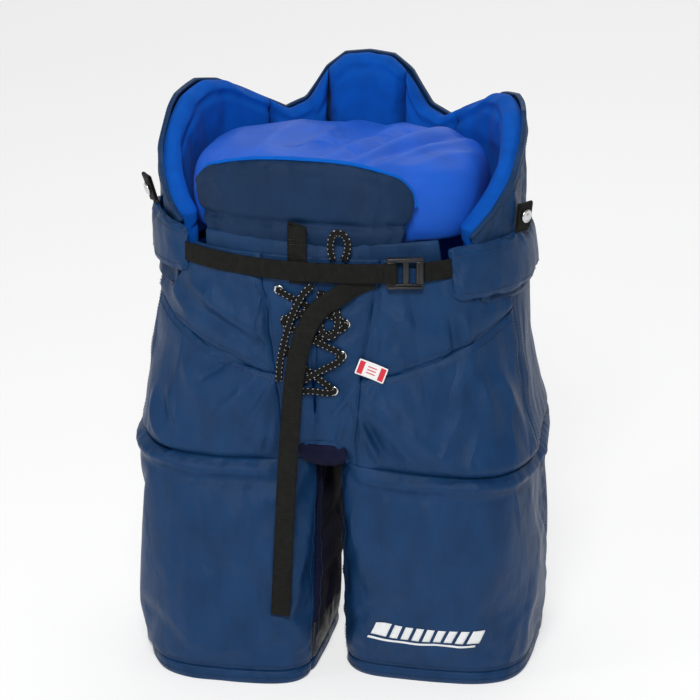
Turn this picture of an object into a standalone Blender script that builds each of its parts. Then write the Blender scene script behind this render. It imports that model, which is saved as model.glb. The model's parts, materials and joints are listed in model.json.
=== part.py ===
"""Ice hockey pants, built as an assembly of shell panels, padding, plates, webbing and trim.

The frame: +Z up, -Y is the wearer's front, +X is the wearer's left. The origin lies on the floor
under the middle of the pants, which stand on their two hems. Lengths are in metres, angles in
degrees. An angle round the body starts at the front and grows towards the wearer's left.
"""
import math

import bmesh
import bpy
import numpy as np
from mathutils import Matrix, Vector

# ---------------------------------------------------------------- driving dimensions
# Body outline at each height: height, half width, depth to the front, depth to the back, squareness.
BODY = (
    (0.245, 0.2080, 0.134, 0.138, 3.9),
    (0.300, 0.1985, 0.136, 0.144, 3.0),
    (0.340, 0.1900, 0.135, 0.147, 2.6),
    (0.400, 0.1870, 0.131, 0.149, 2.3),
    (0.440, 0.1865, 0.129, 0.150, 2.3),
    (0.500, 0.1865, 0.126, 0.152, 2.3),
    (0.600, 0.1830, 0.124, 0.152, 2.3),
)
# Leg outline at each height: height, half width, half depth.
LEG = ((0.000, 0.0960, 0.126), (0.014, 0.0965, 0.126), (0.120, 0.0990, 0.128), (0.245, 0.1005, 0.131))
LEG_POWER = 3.0
LEG_CENTRE = 0.1078
# The legs stand a little to the wearer's left of the waist.
LEG_SHIFT = 0.003
STRIDE = {"right": -0.026, "left": 0.014}
SIDES = {"right": -1, "left": 1}

# Height of the padded back band's upper edge, by angle from the front.
RIM = (
    (50, 0.452), (58, 0.466), (70, 0.494), (80, 0.526), (90, 0.553), (100, 0.572), (112, 0.580),
    (122, 0.575), (135, 0.556), (147, 0.538), (155, 0.548), (163, 0.582), (170, 0.597), (180, 0.600),
)
# Height of the seam between the front yoke and the upper thigh panel, by angle.
YOKE_SEAM = ((18, 0.334), (30, 0.339), (47, 0.355), (60, 0.372), (75, 0.398))
# Angle of the seam between the fly facing and the front panels, by height.
FLY_SEAM = ((0.245, 14.5), (0.320, 17.0), (0.370, 20.0), (0.456, 26.5))
LEG_TOP = 0.245
FRONT_TOP = 0.456
BAND_BOTTOM = 0.402
HEM_HEIGHT = 0.014

# Layers, measured inwards from the outline.
SHELL = (0.0, 0.0020)
PLATE = (0.0042, 0.0060)
FOAM = (0.0074, 0.0150)
LINER = (0.0197, 0.0213)
PAD = (0.0034, 0.0240)
TONGUE = (0.0040, 0.0100)
FLAP = (0.0040, 0.0175)

STEP = 7.5
LEAST_COLUMN = 2.0
SEAM = 0.06
SLANT_SEAM = 0.20
CLEAR = 0.0003

WEB_WIDTH = 0.020
WEB_THICK = 0.0016
BELT_HEIGHT = 0.4458
LACE_WIDTH = 0.007
LACE_THICK = 0.0012
FLY_SLIT = {"right": -2.2, "left": -1.2}
SIDE_SEAM = 75
BACK_SEAM = 135
BAND_FRONT = 60
PAD_FRONT = 63

# Angles and heights of the guards and linings.
LEG_SEAMS = (-47, 97, 238)
THIGH_PLATE = ((-30, 75), (0.040, 0.225))
THIGH_FOAM = ((-37.5, 90), (0.022, 0.238))
HIP_GUARD_ANGLES = (60, 120)
HIP_PLATE_HEIGHTS = (0.265, 0.385)
HIP_FOAM_HEIGHTS = (0.255, 0.396)
TAIL_PLATE = ((157.5, 202.5), (0.262, 0.385))
LINER_HEIGHTS = (0.262, 0.415)
TONGUE_ANGLES = (-50, 50)
TONGUE_HEIGHTS = (0.340, 0.474)
GUARD_PUFF = 0.004

BUCKLE_ANGLE = 35.0
BUCKLE_WIDTH = 0.036
BUCKLE_HEIGHT = 0.031
BUCKLE_THICK = 0.0055
BUCKLE_OUT = 0.0096
# Where the buckle's bars and slots begin along it, and half the height of its slots.
BUCKLE_STOPS = (0.0, 0.0070, 0.0140, 0.0200, 0.0270, BUCKLE_WIDTH)
SLOT_HALF = 0.0112
# How far the straps stand off the body, at the cover or the right end and at the buckle.
STRAP_OUTS = {"right": (0.0052, 0.0114), "left": (0.0086, 0.0040)}
STRAP_GAPS = {"right": 1.6, "left": 0.6}

FLAP_AXIS = (0.0, -0.112, 0.487)
FLAP_ANGLES = (-53, 41)
FLAP_FOOT = 0.494
FLAP_TOP = 0.549
FLAP_DROP = 0.022
FLAP_PUFF = 0.001
EYELET_HEIGHTS = (0.421, 0.391, 0.359, 0.322)
EYELET_X = {"right": (-0.040, -0.033, -0.029, -0.026), "left": (0.031, 0.027, 0.024, 0.016)}

PATCH_TOP = 0.050
HEM = (0.0, 0.0030)
SPINE = (0.0034, 0.0260)
GUSSET_REACH = 0.112
GUSSET_GAP = 0.0022
GUSSET_HEIGHTS = (0.228, 0.2447)
WING_SEAM = 139
SPINE_SEAM = 163
PAD_BOTTOM = 0.420
INSERT_WIDTH = 0.150
INSERT_FRONT = 0.100
INSERT_BACK = 0.112
INSERT_POWER = 2.6
INSERT_PROFILE = ((0.462, 0.010), (0.475, 0.0), (0.508, 0.0), (0.524, 0.007), (0.533, 0.022), (0.537, 0.050))
COVER = (-0.0070, -0.0012)
COVER_ANGLES = (52.5, 112)
COVER_HEIGHTS = (0.413, 0.470)
BUCKLE_RADIUS = 0.158
EYELET_STRIP_WIDTH = 0.009
EYELET_MARGIN = 0.008
EYELET_OUTS = (0.0008, 0.0020)
LACE_OUTS = (0.0030, 0.0047)

TAB_FOOT = (0.1900, -0.034, 0.474)
TAB_LENGTH = 0.032
TAB_THICK = 0.0034
TAB_LEAN = math.radians(14)
TAB_BUTTON_REACH = 0.017

# Routes of the free straps and laces, from where they leave their knot or buckle.
BELT_TAIL = (
    (0.0530, -0.1290, 0.4380), (0.0380, -0.1312, 0.4310), (0.0200, -0.1390, 0.4200), (0.0020, -0.1408, 0.4060),
    (-0.0105, -0.1425, 0.3850), (-0.0180, -0.1440, 0.3600), (-0.0230, -0.1455, 0.3250), (-0.0260, -0.1463, 0.2850),
    (-0.0290, -0.1475, 0.2400), (-0.0315, -0.1485, 0.1900), (-0.0340, -0.1490, 0.1400), (-0.0360, -0.1495, 0.0950),
    (-0.0370, -0.1500, 0.0800),
)
UPPER_LOOP = (
    (0.0150, -0.1330, 0.4560), (0.0130, -0.1345, 0.4650), (0.0135, -0.1365, 0.4760), (0.0180, -0.1385, 0.4845),
    (0.0260, -0.1385, 0.4840), (0.0300, -0.1365, 0.4760), (0.0290, -0.1345, 0.4650), (0.0255, -0.1330, 0.4560),
)
LACE_AXIS = (0.005, -0.1335, 0.430)
LOWER_LOOP = (
    (0.0040, -0.1361, 0.4250), (0.0020, -0.1371, 0.4120), (0.0020, -0.1381, 0.3980), (0.0050, -0.1392, 0.3850),
    (0.0120, -0.1397, 0.3790), (0.0190, -0.1392, 0.3850), (0.0208, -0.1380, 0.3980), (0.0180, -0.1369, 0.4100),
    (0.0150, -0.1362, 0.4180),
)
LACE_END = (
    (-0.0050, -0.1358, 0.4300), (-0.0130, -0.1370, 0.4220), (-0.0210, -0.1385, 0.4080), (-0.0275, -0.1395, 0.3900),
    (-0.0330, -0.1400, 0.3700), (-0.0370, -0.1405, 0.3500), (-0.0385, -0.1410, 0.3300),
)
LABEL_ANGLE = 22.0
LABEL_HEIGHT = 0.345
LABEL_OUT = 0.0026
LABEL_TILT = math.radians(20)
LABEL_SIZE = (0.030, 0.0010, 0.016)
MARK_ANGLES = (-28, 25)
MARK_HEIGHTS = (0.046, 0.068)
MARK_LAYER = (-0.0012, -0.0004)
KEEPER_PATH = (
    (-0.0215, -0.1305, 0.4860), (-0.0215, -0.1310, 0.4700), (-0.0210, -0.1322, 0.4500), (-0.0195, -0.1332, 0.4300),
)

# ---------------------------------------------------------------- materials
COLOURS = {
    "navy_nylon": ((0.018, 0.065, 0.165), 0.42, 0.0),
    "navy_side_nylon": ((0.014, 0.050, 0.130), 0.45, 0.0),
    "inner_leg_cloth": ((0.010, 0.010, 0.045), 0.80, 0.0),
    "blue_lining": ((0.003, 0.080, 0.480), 0.75, 0.0),
    "insert_cloth": ((0.030, 0.060, 0.450), 0.55, 0.0),
    "black_webbing": ((0.012, 0.012, 0.011), 0.65, 0.0),
    "black_patch": ((0.008, 0.008, 0.008), 0.55, 0.0),
    "black_plastic": ((0.010, 0.010, 0.012), 0.35, 0.0),
    "white_foam": ((0.75, 0.75, 0.72), 0.85, 0.0),
    "white_plate": ((0.80, 0.80, 0.78), 0.40, 0.0),
    "silver_metal": ((0.72, 0.73, 0.75), 0.25, 1.0),
    "label_cloth": ((0.85, 0.85, 0.85), 0.60, 0.0),
    "mark_print": ((0.88, 0.88, 0.88), 0.45, 0.0),
}


def clear_scene():
    """Remove every object that the file opened with."""
    for item in list(bpy.data.objects):
        bpy.data.objects.remove(item, do_unlink=True)


def material(name):
    """Return the named finish, making it once."""
    found = bpy.data.materials.get(name)
    if found:
        return found
    colour, roughness, metallic = COLOURS[name]
    made = bpy.data.materials.new(name)
    made.use_nodes = True
    shader = made.node_tree.nodes["Principled BSDF"]
    shader.inputs["Base Color"].default_value = (*colour, 1.0)
    shader.inputs["Roughness"].default_value = roughness
    shader.inputs["Metallic"].default_value = metallic
    return made


# ---------------------------------------------------------------- the outlines
def look_up(table, place, column=1):
    """Read a column of a table at a place between its rows, along straight lines."""
    return float(np.interp(place, [row[0] for row in table], [row[column] for row in table]))


def outline_radius(angle, half_width, half_depth, power):
    """Distance from the centre to a rounded outline, in the direction of an angle."""
    across = abs(math.sin(math.radians(angle))) / half_width
    along = abs(math.cos(math.radians(angle))) / half_depth
    return (across ** power + along ** power) ** (-1.0 / power)


def body_point(angle, height, inset=0.0):
    """A point on the body's outline at a height, moved inwards by the inset."""
    depth_column = 2 if math.cos(math.radians(angle)) > 0 else 3
    half_width = look_up(BODY, height, 1) - inset
    half_depth = look_up(BODY, height, depth_column) - inset
    radius = outline_radius(angle, half_width, half_depth, look_up(BODY, height, 4))
    turn = math.radians(angle)
    return Vector((radius * math.sin(turn), -radius * math.cos(turn), height))


def body_normal(angle, height):
    """The outward direction of the body's outline at an angle."""
    along = body_point(angle + 1.0, height) - body_point(angle - 1.0, height)
    return Vector((along.y, -along.x, 0.0)).normalized()


def leg_surface(side):
    """The outline of one leg, as a function of angle, height and inset.

    The angle starts at the front and grows towards the outside of the leg.
    """
    sign = SIDES[side]

    def point(angle, height, inset=0.0):
        half_width = look_up(LEG, height, 1) - inset
        half_depth = look_up(LEG, height, 2) - inset
        radius = outline_radius(angle, half_width, half_depth, LEG_POWER)
        turn = math.radians(angle)
        shift = STRIDE[side] * (1.0 - height / LEG_TOP)
        across = LEG_SHIFT + sign * (LEG_CENTRE + radius * math.sin(turn))
        return Vector((across, shift - radius * math.cos(turn), height))

    return point


def rim_height(angle):
    """Upper edge of the padded band at an angle, the same on both sides."""
    return look_up(RIM, abs(((angle + 180) % 360) - 180))


def yoke_seam(angle):
    """Height of the seam under the front yoke."""
    return look_up(YOKE_SEAM, abs(angle))


# ---------------------------------------------------------------- solids
def add_object(name, mesh, finish, parent=None):
    """Put a mesh into the scene under a name, with its finish."""
    item = bpy.data.objects.new(name, mesh)
    item.data.materials.append(material(finish))
    bpy.context.scene.collection.objects.link(item)
    if parent:
        item.parent = parent
        item.matrix_parent_inverse = parent.matrix_world.inverted()
    return item


def mesh_from(name, points, faces):
    """A mesh with its faces turned outwards."""
    mesh = bpy.data.meshes.new(name)
    mesh.from_pydata([tuple(point) for point in points], [], faces)
    work = bmesh.new()
    work.from_mesh(mesh)
    bmesh.ops.recalc_face_normals(work, faces=work.faces)
    work.to_mesh(mesh)
    work.free()
    return mesh


def skin(outer, inner, closed):
    """Faces of a solid between two grids of points, indexed column by column."""
    columns = len(outer)
    rows = len(outer[0])
    points = [point for column in outer for point in column]
    points += [point for column in inner for point in column]
    back = columns * rows
    faces = []
    for column in range(columns if closed else columns - 1):
        near = column * rows
        far = ((column + 1) % columns) * rows
        for row in range(rows - 1):
            faces.append((near + row, far + row, far + row + 1, near + row + 1))
            faces.append((back + near + row, back + near + row + 1, back + far + row + 1, back + far + row))
        faces.append((near, back + near, back + far, far))
        top = rows - 1
        faces.append((near + top, far + top, back + far + top, back + near + top))
    if not closed:
        last = (columns - 1) * rows
        for row in range(rows - 1):
            faces.append((row, row + 1, back + row + 1, back + row))
            faces.append((last + row, back + last + row, back + last + row + 1, last + row + 1))
    return points, faces


def angle_list(start, end):
    """Angles from start to end that share one grid, so that layers have parallel facets."""
    inner = [STEP * k for k in range(math.ceil(start / STEP), math.floor(end / STEP) + 1)]
    inner = [angle for angle in inner if start + LEAST_COLUMN < angle < end - LEAST_COLUMN]
    return [start] + inner + [end]


def height_at(limit, angle):
    """A limit is a height, or a function that gives the height at an angle."""
    return limit(angle) if callable(limit) else limit


def panel(name, surface, angles, heights, layer, finish, rows=3, puff=0.0, lean=None, parent=None):
    """A sewn panel: the solid between two insets of a surface.

    Puff swells the inner side towards the middle, for padding. Lean moves a point's angle by its
    height and its share of the way across, for a panel whose seams slant.
    """
    ring = angles[1] - angles[0] >= 360
    steps = [STEP * k for k in range(int(360 / STEP))] if ring else angle_list(*angles)
    outer = []
    inner = []
    for place, angle in enumerate(steps):
        low = height_at(heights[0], angle)
        high = height_at(heights[1], angle)
        share = 0.0 if ring else place / (len(steps) - 1)
        across = 0.0 if ring else math.sin(math.pi * share)
        out_column = []
        in_column = []
        for row in range(rows + 1):
            level = low + (high - low) * row / rows
            swell = puff * (math.sin(math.pi * row / rows) * across) ** 0.5 if 0 < row < rows else 0.0
            turned = angle + (lean(level, share) if lean else 0.0)
            out_column.append(surface(turned, level, layer[0]))
            in_column.append(surface(turned, level, layer[1] + swell))
        outer.append(out_column)
        inner.append(in_column)
    points, faces = skin(outer, inner, ring)
    return add_object(name, mesh_from(name, points, faces), finish, parent)


def seam_span(start, end, gap=SEAM):
    """An angle span, drawn in at both ends by half a seam's gap."""
    return (start + gap, end - gap)


def strap_points(path, normals, width, thick):
    """Rings of four corners along a flat strap. Normals point away from the body."""
    rings = []
    for index, point in enumerate(path):
        ahead = path[min(index + 1, len(path) - 1)] - path[max(index - 1, 0)]
        ahead.normalize()
        across = ahead.cross(normals[index]).normalized()
        out = across.cross(ahead).normalized()
        across = across * (width / 2)
        out = out * (thick / 2)
        rings.append([point - across - out, point + across - out, point + across + out, point - across + out])
    return rings


def loft(name, rings, finish, parent=None):
    """A closed solid through rings of corners, capped at both ends."""
    size = len(rings[0])
    points = [point for ring in rings for point in ring]
    faces = []
    for index in range(len(rings) - 1):
        for corner in range(size):
            after = (corner + 1) % size
            near = index * size
            far = near + size
            faces.append((near + corner, near + after, far + after, far + corner))
    faces.append(tuple(range(size)))
    faces.append(tuple(range(len(points) - size, len(points))))
    return add_object(name, mesh_from(name, points, faces), finish, parent)


def body_strap(name, angles, height, outs, width, finish, parent=None):
    """A strap that follows the body's outline at one height, standing off it by outs at its two ends."""
    steps = angle_list(*angles)
    path = []
    normals = []
    for place, angle in enumerate(steps):
        share = place / (len(steps) - 1)
        level = height_at(height, angle)
        outward = body_normal(angle, level)
        path.append(body_point(angle, level) + outward * (outs[0] + (outs[1] - outs[0]) * share))
        normals.append(outward)
    return loft(name, strap_points(path, normals, width, WEB_THICK), finish, parent)


def smooth_path(points, count):
    """Points at even steps along a smooth curve through the given points."""
    knots = [Vector(point) for point in points]
    knots = [knots[0] * 2 - knots[1]] + knots + [knots[-1] * 2 - knots[-2]]
    dense = []
    for index in range(1, len(knots) - 2):
        before, start, end, after = knots[index - 1:index + 3]
        for step in range(12):
            t = step / 12
            dense.append(0.5 * (2 * start + (end - before) * t + (2 * before - 5 * start + 4 * end - after) * t ** 2
                                + (3 * start - before - 3 * end + after) * t ** 3))
    dense.append(knots[-2])
    lengths = [0.0]
    for first, second in zip(dense, dense[1:]):
        lengths.append(lengths[-1] + (second - first).length)
    marks = np.linspace(0, lengths[-1], count)
    return [Vector(np.array([np.interp(mark, lengths, [point[axis] for point in dense]) for axis in range(3)]))
            for mark in marks]


def free_strap(name, route, count, width, thick, finish, parent=None):
    """A flat cord or strap along a route, facing the front."""
    path = smooth_path(route, count)
    normals = [Vector((0.0, -1.0, 0.0)) for _ in path]
    for index, point in enumerate(path):
        ahead = path[min(index + 1, count - 1)] - path[max(index - 1, 0)]
        if abs(ahead.normalized().y) > 0.8:
            normals[index] = Vector((0.0, 0.0, 1.0))
    return loft(name, strap_points(path, normals, width, thick), finish, parent)


def empty_at(name, place):
    """An empty that stands on a joint's axis and carries the pieces that turn about it."""
    item = bpy.data.objects.new(name, None)
    item.location = place
    bpy.context.scene.collection.objects.link(item)
    bpy.context.view_layer.update()
    return item


# ---------------------------------------------------------------- legs
def build_leg(side):
    """One leg: shell panels, hem, thigh guard and inner patches."""
    surface = leg_surface(side)
    top = LEG_TOP - CLEAR
    low = HEM_HEIGHT + CLEAR
    front_edge, back_edge, inner_edge = LEG_SEAMS
    panel(f"thigh_front_panel_{side}", surface, seam_span(front_edge, back_edge), (low, top), SHELL, "navy_nylon")
    panel(f"thigh_rear_panel_{side}", surface, seam_span(back_edge, inner_edge), (low, top), SHELL,
          "navy_side_nylon")
    inner = seam_span(inner_edge, 360 + front_edge)
    panel(f"inner_leg_panel_{side}", surface, inner, (PATCH_TOP + CLEAR, top), SHELL, "inner_leg_cloth")
    panel(f"inner_hem_patch_{side}", surface, inner, (low, PATCH_TOP), SHELL, "black_patch", rows=1)
    panel(f"hem_band_{side}", surface, (0, 360), (0.0, HEM_HEIGHT), HEM, "navy_nylon", rows=1)
    panel(f"thigh_plate_{side}", surface, *THIGH_PLATE, PLATE, "white_plate")
    panel(f"thigh_foam_{side}", surface, *THIGH_FOAM, FOAM, "white_foam", puff=GUARD_PUFF)


def gusset_edge(side, depth, height):
    """Where the gusset meets a leg at a depth and height, less a seam's gap."""
    width = look_up(LEG, height, 1)
    reach = look_up(LEG, height, 2)
    shift = STRIDE[side] * (1.0 - height / LEG_TOP)
    curve = (1.0 - min(abs(depth - shift) / reach, 1.0) ** LEG_POWER) ** (1.0 / LEG_POWER)
    return LEG_SHIFT + SIDES[side] * (LEG_CENTRE - width * curve - GUSSET_GAP)


def build_crotch_gusset():
    """The saddle between the legs: a flat piece that widens towards the front and the back."""
    depths = [float(depth) for depth in np.linspace(-GUSSET_REACH, GUSSET_REACH, 25)]
    rings = []
    for height in GUSSET_HEIGHTS:
        ring = [Vector((gusset_edge("left", depth, height), depth, height)) for depth in depths]
        ring += [Vector((gusset_edge("right", depth, height), depth, height)) for depth in reversed(depths)]
        rings.append(ring)
    loft("crotch_gusset", rings, "inner_leg_cloth")


# ---------------------------------------------------------------- hips, seat and fly
def fly_seam(height):
    """Angle of the fly's outer seam at a height."""
    return look_up(FLY_SEAM, height)


def front_top(angle):
    """Upper edge of the front shell, which steps down where the padded band begins."""
    return FRONT_TOP if abs(angle) < BAND_FRONT - STEP / 2 else BAND_BOTTOM - CLEAR


def build_hips():
    """Shell panels from the legs' seam up to the belt, and the guards behind them."""
    bottom = LEG_TOP + CLEAR
    band = BAND_BOTTOM - CLEAR
    inner_angle = fly_seam(FRONT_TOP)
    for side, sign in SIDES.items():
        front = seam_span(*sorted((sign * inner_angle, sign * SIDE_SEAM)), gap=SLANT_SEAM)
        hip = seam_span(*sorted((sign * SIDE_SEAM, sign * BACK_SEAM)))
        guard = sorted(sign * angle for angle in HIP_GUARD_ANGLES)

        def slant(height, share, sign=sign):
            """Keep the panel's inner edge on the fly's slanted seam."""
            from_side = share if sign < 0 else 1.0 - share
            return sign * (fly_seam(height) - inner_angle) * from_side

        panel(f"upper_thigh_panel_{side}", body_point, front, (bottom, lambda a: yoke_seam(a) - CLEAR), SHELL,
              "navy_nylon", lean=slant)
        panel(f"front_yoke_{side}", body_point, front, (yoke_seam, front_top), SHELL, "navy_nylon", lean=slant)
        panel(f"hip_panel_{side}", body_point, hip, (bottom, band), SHELL, "navy_side_nylon")
        panel(f"hip_plate_{side}", body_point, guard, HIP_PLATE_HEIGHTS, PLATE, "white_plate")
        panel(f"hip_foam_{side}", body_point, guard, HIP_FOAM_HEIGHTS, FOAM, "white_foam", puff=GUARD_PUFF)
    panel("seat_panel", body_point, seam_span(BACK_SEAM, 360 - BACK_SEAM), (bottom, band), SHELL, "navy_side_nylon")
    panel("tail_plate", body_point, *TAIL_PLATE, PLATE, "white_plate")
    panel("waist_liner", body_point, (0, 360), LINER_HEIGHTS, LINER, "blue_lining", rows=2)


def build_fly():
    """The two laced facings and the tongue behind them."""
    bottom = LEG_TOP + CLEAR
    outer_angle = fly_seam(FRONT_TOP)
    for side, sign in SIDES.items():
        span = seam_span(*sorted((FLY_SLIT[side], sign * outer_angle)), gap=SLANT_SEAM)

        def slant(height, share, sign=sign):
            """Keep the facing's outer edge on the fly's slanted seam."""
            to_seam = share if sign > 0 else 1.0 - share
            return sign * (fly_seam(height) - outer_angle) * to_seam

        panel(f"fly_facing_{side}", body_point, span, (bottom, FRONT_TOP), SHELL, "navy_nylon", rows=4, lean=slant)
    panel("tongue_base", body_point, TONGUE_ANGLES, TONGUE_HEIGHTS, TONGUE, "navy_nylon")


# ---------------------------------------------------------------- padded back band
def build_band():
    """The navy outer band, its plates and the five blue pads inside it."""
    band = (BAND_FRONT, 360 - BAND_FRONT)
    panel("back_band_shell", body_point, seam_span(*band), (BAND_BOTTOM, rim_height), SHELL, "navy_side_nylon")
    for side, sign in SIDES.items():
        wing = seam_span(*sorted((sign * PAD_FRONT, sign * WING_SEAM)))
        back = seam_span(*sorted((sign * WING_SEAM, sign * SPINE_SEAM)))
        panel(f"wing_pad_{side}", body_point, wing, (PAD_BOTTOM, pad_top), PAD, "blue_lining")
        panel(f"back_pad_{side}", body_point, back, (PAD_BOTTOM, pad_top), PAD, "blue_lining")
    panel("spine_pad", body_point, seam_span(SPINE_SEAM, 360 - SPINE_SEAM), (PAD_BOTTOM, pad_top), SPINE,
          "blue_lining")


def pad_top(angle):
    """Upper edge of the pads, just under the band's own edge."""
    return rim_height(angle) - 0.0012


def build_insert():
    """The cloth-covered stuffing that keeps the waist open, free to lift out."""
    mover = empty_at("insert_lift_axis", (0.0, 0.0, INSERT_PROFILE[0][0]))
    rings = []
    for height, inset in INSERT_PROFILE:
        ring = []
        for angle in range(0, 360, 15):
            turn = math.radians(angle)
            depth = INSERT_FRONT if math.cos(turn) > 0 else INSERT_BACK
            radius = outline_radius(angle, INSERT_WIDTH - inset, depth - inset, INSERT_POWER)
            ring.append(Vector((radius * math.sin(turn), -radius * math.cos(turn), height)))
        rings.append(ring)
    loft("display_insert", rings, "insert_cloth", mover)


def build_flap():
    """The belly flap, which folds down over the belt."""
    mover = empty_at("belly_flap_axis", FLAP_AXIS)
    panel("belly_flap", body_point, FLAP_ANGLES, (FLAP_FOOT, flap_top), FLAP, "navy_nylon", puff=FLAP_PUFF,
          parent=mover)


def flap_top(angle):
    """Upper edge of the belly flap, which drops towards its two rounded corners."""
    start, end = FLAP_ANGLES
    share = min(abs(2 * angle - start - end) / (end - start), 1.0)
    return FLAP_TOP - FLAP_DROP * share ** 3


# ---------------------------------------------------------------- belt and buckle
def build_belt():
    """The waist belt: two straps out of their covers, a buckle between them, and the free tail."""
    for side, sign in SIDES.items():
        span = seam_span(*sorted((sign * COVER_ANGLES[0], sign * COVER_ANGLES[1])))
        panel(f"belt_cover_{side}", body_point, span, COVER_HEIGHTS, COVER, "navy_nylon", rows=2)
    half = math.degrees(BUCKLE_WIDTH / 2 / BUCKLE_RADIUS)
    cover = COVER_ANGLES[0] - SEAM * 3
    body_strap("belt_strap_right", (-cover, BUCKLE_ANGLE - half - STRAP_GAPS["right"]), BELT_HEIGHT,
               STRAP_OUTS["right"], WEB_WIDTH, "black_webbing")
    body_strap("belt_strap_left", (BUCKLE_ANGLE + half + STRAP_GAPS["left"], cover), BELT_HEIGHT,
               STRAP_OUTS["left"], WEB_WIDTH, "black_webbing")


def buckle_frame():
    """The buckle's place: its hinge line, and the direction from there to the free side."""
    outward = body_normal(BUCKLE_ANGLE, BELT_HEIGHT)
    along = Vector((outward.y, -outward.x, 0.0))
    centre = body_point(BUCKLE_ANGLE, BELT_HEIGHT) + outward * BUCKLE_OUT
    return centre - along * (BUCKLE_WIDTH / 2), along, outward


def buckle_point(along_by, out_by, up_by):
    """A point in the buckle's own directions, from its hinge line."""
    corner, along, outward = buckle_frame()
    return corner + along * along_by + outward * out_by + Vector((0.0, 0.0, up_by))


def build_buckle():
    """A ladder-lock buckle with two slots, and the webbing that folds round its outer bar."""
    mover = empty_at("buckle_axis", buckle_frame()[0])
    levels = [-BUCKLE_HEIGHT / 2, -SLOT_HALF, SLOT_HALF, BUCKLE_HEIGHT / 2]
    holes = {(1, 1), (3, 1)}
    points = []
    for depth in (-BUCKLE_THICK / 2, BUCKLE_THICK / 2):
        for stop in BUCKLE_STOPS:
            for level in levels:
                points.append(buckle_point(stop, depth, level))
    faces = pierced_faces(len(BUCKLE_STOPS), len(levels), holes)
    add_object("belt_buckle", mesh_from("belt_buckle", points, faces), "black_plastic", mover)
    wrap_bar("buckle_webbing", BUCKLE_STOPS[-2:], mover)


def pierced_faces(columns, rows, holes):
    """Faces of a plate made of cells, some of them open, between two layers of grid points."""
    back = columns * rows
    cells = {(i, j) for i in range(columns - 1) for j in range(rows - 1)} - holes
    faces = []
    for i, j in sorted(cells):
        corners = (i * rows + j, (i + 1) * rows + j, (i + 1) * rows + j + 1, i * rows + j + 1)
        faces.append(corners)
        faces.append(tuple(back + corner for corner in reversed(corners)))
        neighbours = ((i, j - 1), (i + 1, j), (i, j + 1), (i - 1, j))
        for edge, neighbour in enumerate(neighbours):
            start, end = corners[edge], corners[(edge + 1) % 4]
            if neighbour not in cells:
                faces.append((start, back + start, back + end, end))
    return faces


def wrap_bar(name, bar, parent):
    """Webbing folded round a bar of the buckle: a flat tube with the bar inside it."""
    near = BUCKLE_THICK / 2 + CLEAR
    far = near + WEB_THICK
    side = CLEAR + WEB_THICK
    outer_ring = ((bar[0] - side, -far), (bar[1] + side, -far), (bar[1] + side, far), (bar[0] - side, far))
    inner_ring = ((bar[0] - CLEAR, -near), (bar[1] + CLEAR, -near), (bar[1] + CLEAR, near), (bar[0] - CLEAR, near))
    levels = (-WEB_WIDTH / 2, WEB_WIDTH / 2)
    outer = [[buckle_point(a, o, level) for level in levels] for a, o in outer_ring]
    inner = [[buckle_point(a, o, level) for level in levels] for a, o in inner_ring]
    points, faces = skin(outer, inner, True)
    add_object(name, mesh_from(name, points, faces), "black_webbing", parent)


def build_belt_tail():
    """The belt's free end, which hangs from behind the buckle down the front of a leg."""
    mover = empty_at("belt_tail_axis", BELT_TAIL[0])
    free_strap("belt_tail", BELT_TAIL, 30, WEB_WIDTH, WEB_THICK, "black_webbing", mover)


# ---------------------------------------------------------------- suspender tabs
def build_tabs():
    """A webbing tab with a suspender button on each hip, hinged at its sewn foot."""
    for side, sign in SIDES.items():
        foot = Vector((sign * TAB_FOOT[0], TAB_FOOT[1], TAB_FOOT[2]))
        mover = empty_at(f"tab_axis_{side}", foot)
        rise = Vector((sign * math.sin(TAB_LEAN), 0.0, math.cos(TAB_LEAN)))
        out = Vector((sign * math.cos(TAB_LEAN), 0.0, -math.sin(TAB_LEAN)))
        ahead = Vector((0.0, 1.0, 0.0))
        rings = []
        for reach in (0.002, TAB_LENGTH):
            centre = foot + rise * reach
            rings.append([centre + ahead * (a * WEB_WIDTH / 2) + out * (b * TAB_THICK / 2)
                          for a, b in ((-1, -1), (1, -1), (1, 1), (-1, 1))])
        loft(f"suspender_tab_{side}", rings, "black_webbing", mover)
        centre = foot + rise * TAB_BUTTON_REACH + out * (TAB_THICK / 2 + CLEAR)
        rings = []
        for depth, radius in ((0.0, 0.0030), (0.0015, 0.0030), (0.0016, 0.0068), (0.0035, 0.0060)):
            ring = []
            for index in range(12):
                turn = 2 * math.pi * index / 12
                ring.append(centre + out * depth + ahead * (radius * math.cos(turn)) + rise * (radius * math.sin(turn)))
            rings.append(ring)
        loft(f"tab_button_{side}", rings, "silver_metal", mover)


# ---------------------------------------------------------------- lacing
def eyelet_place(side, row, out):
    """Where an eyelet sits on the fly, at a distance outside the shell."""
    height = EYELET_HEIGHTS[row]
    angle = math.degrees(math.atan2(EYELET_X[side][row], look_up(BODY, height, 2)))
    return body_point(angle, height, -out)


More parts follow.
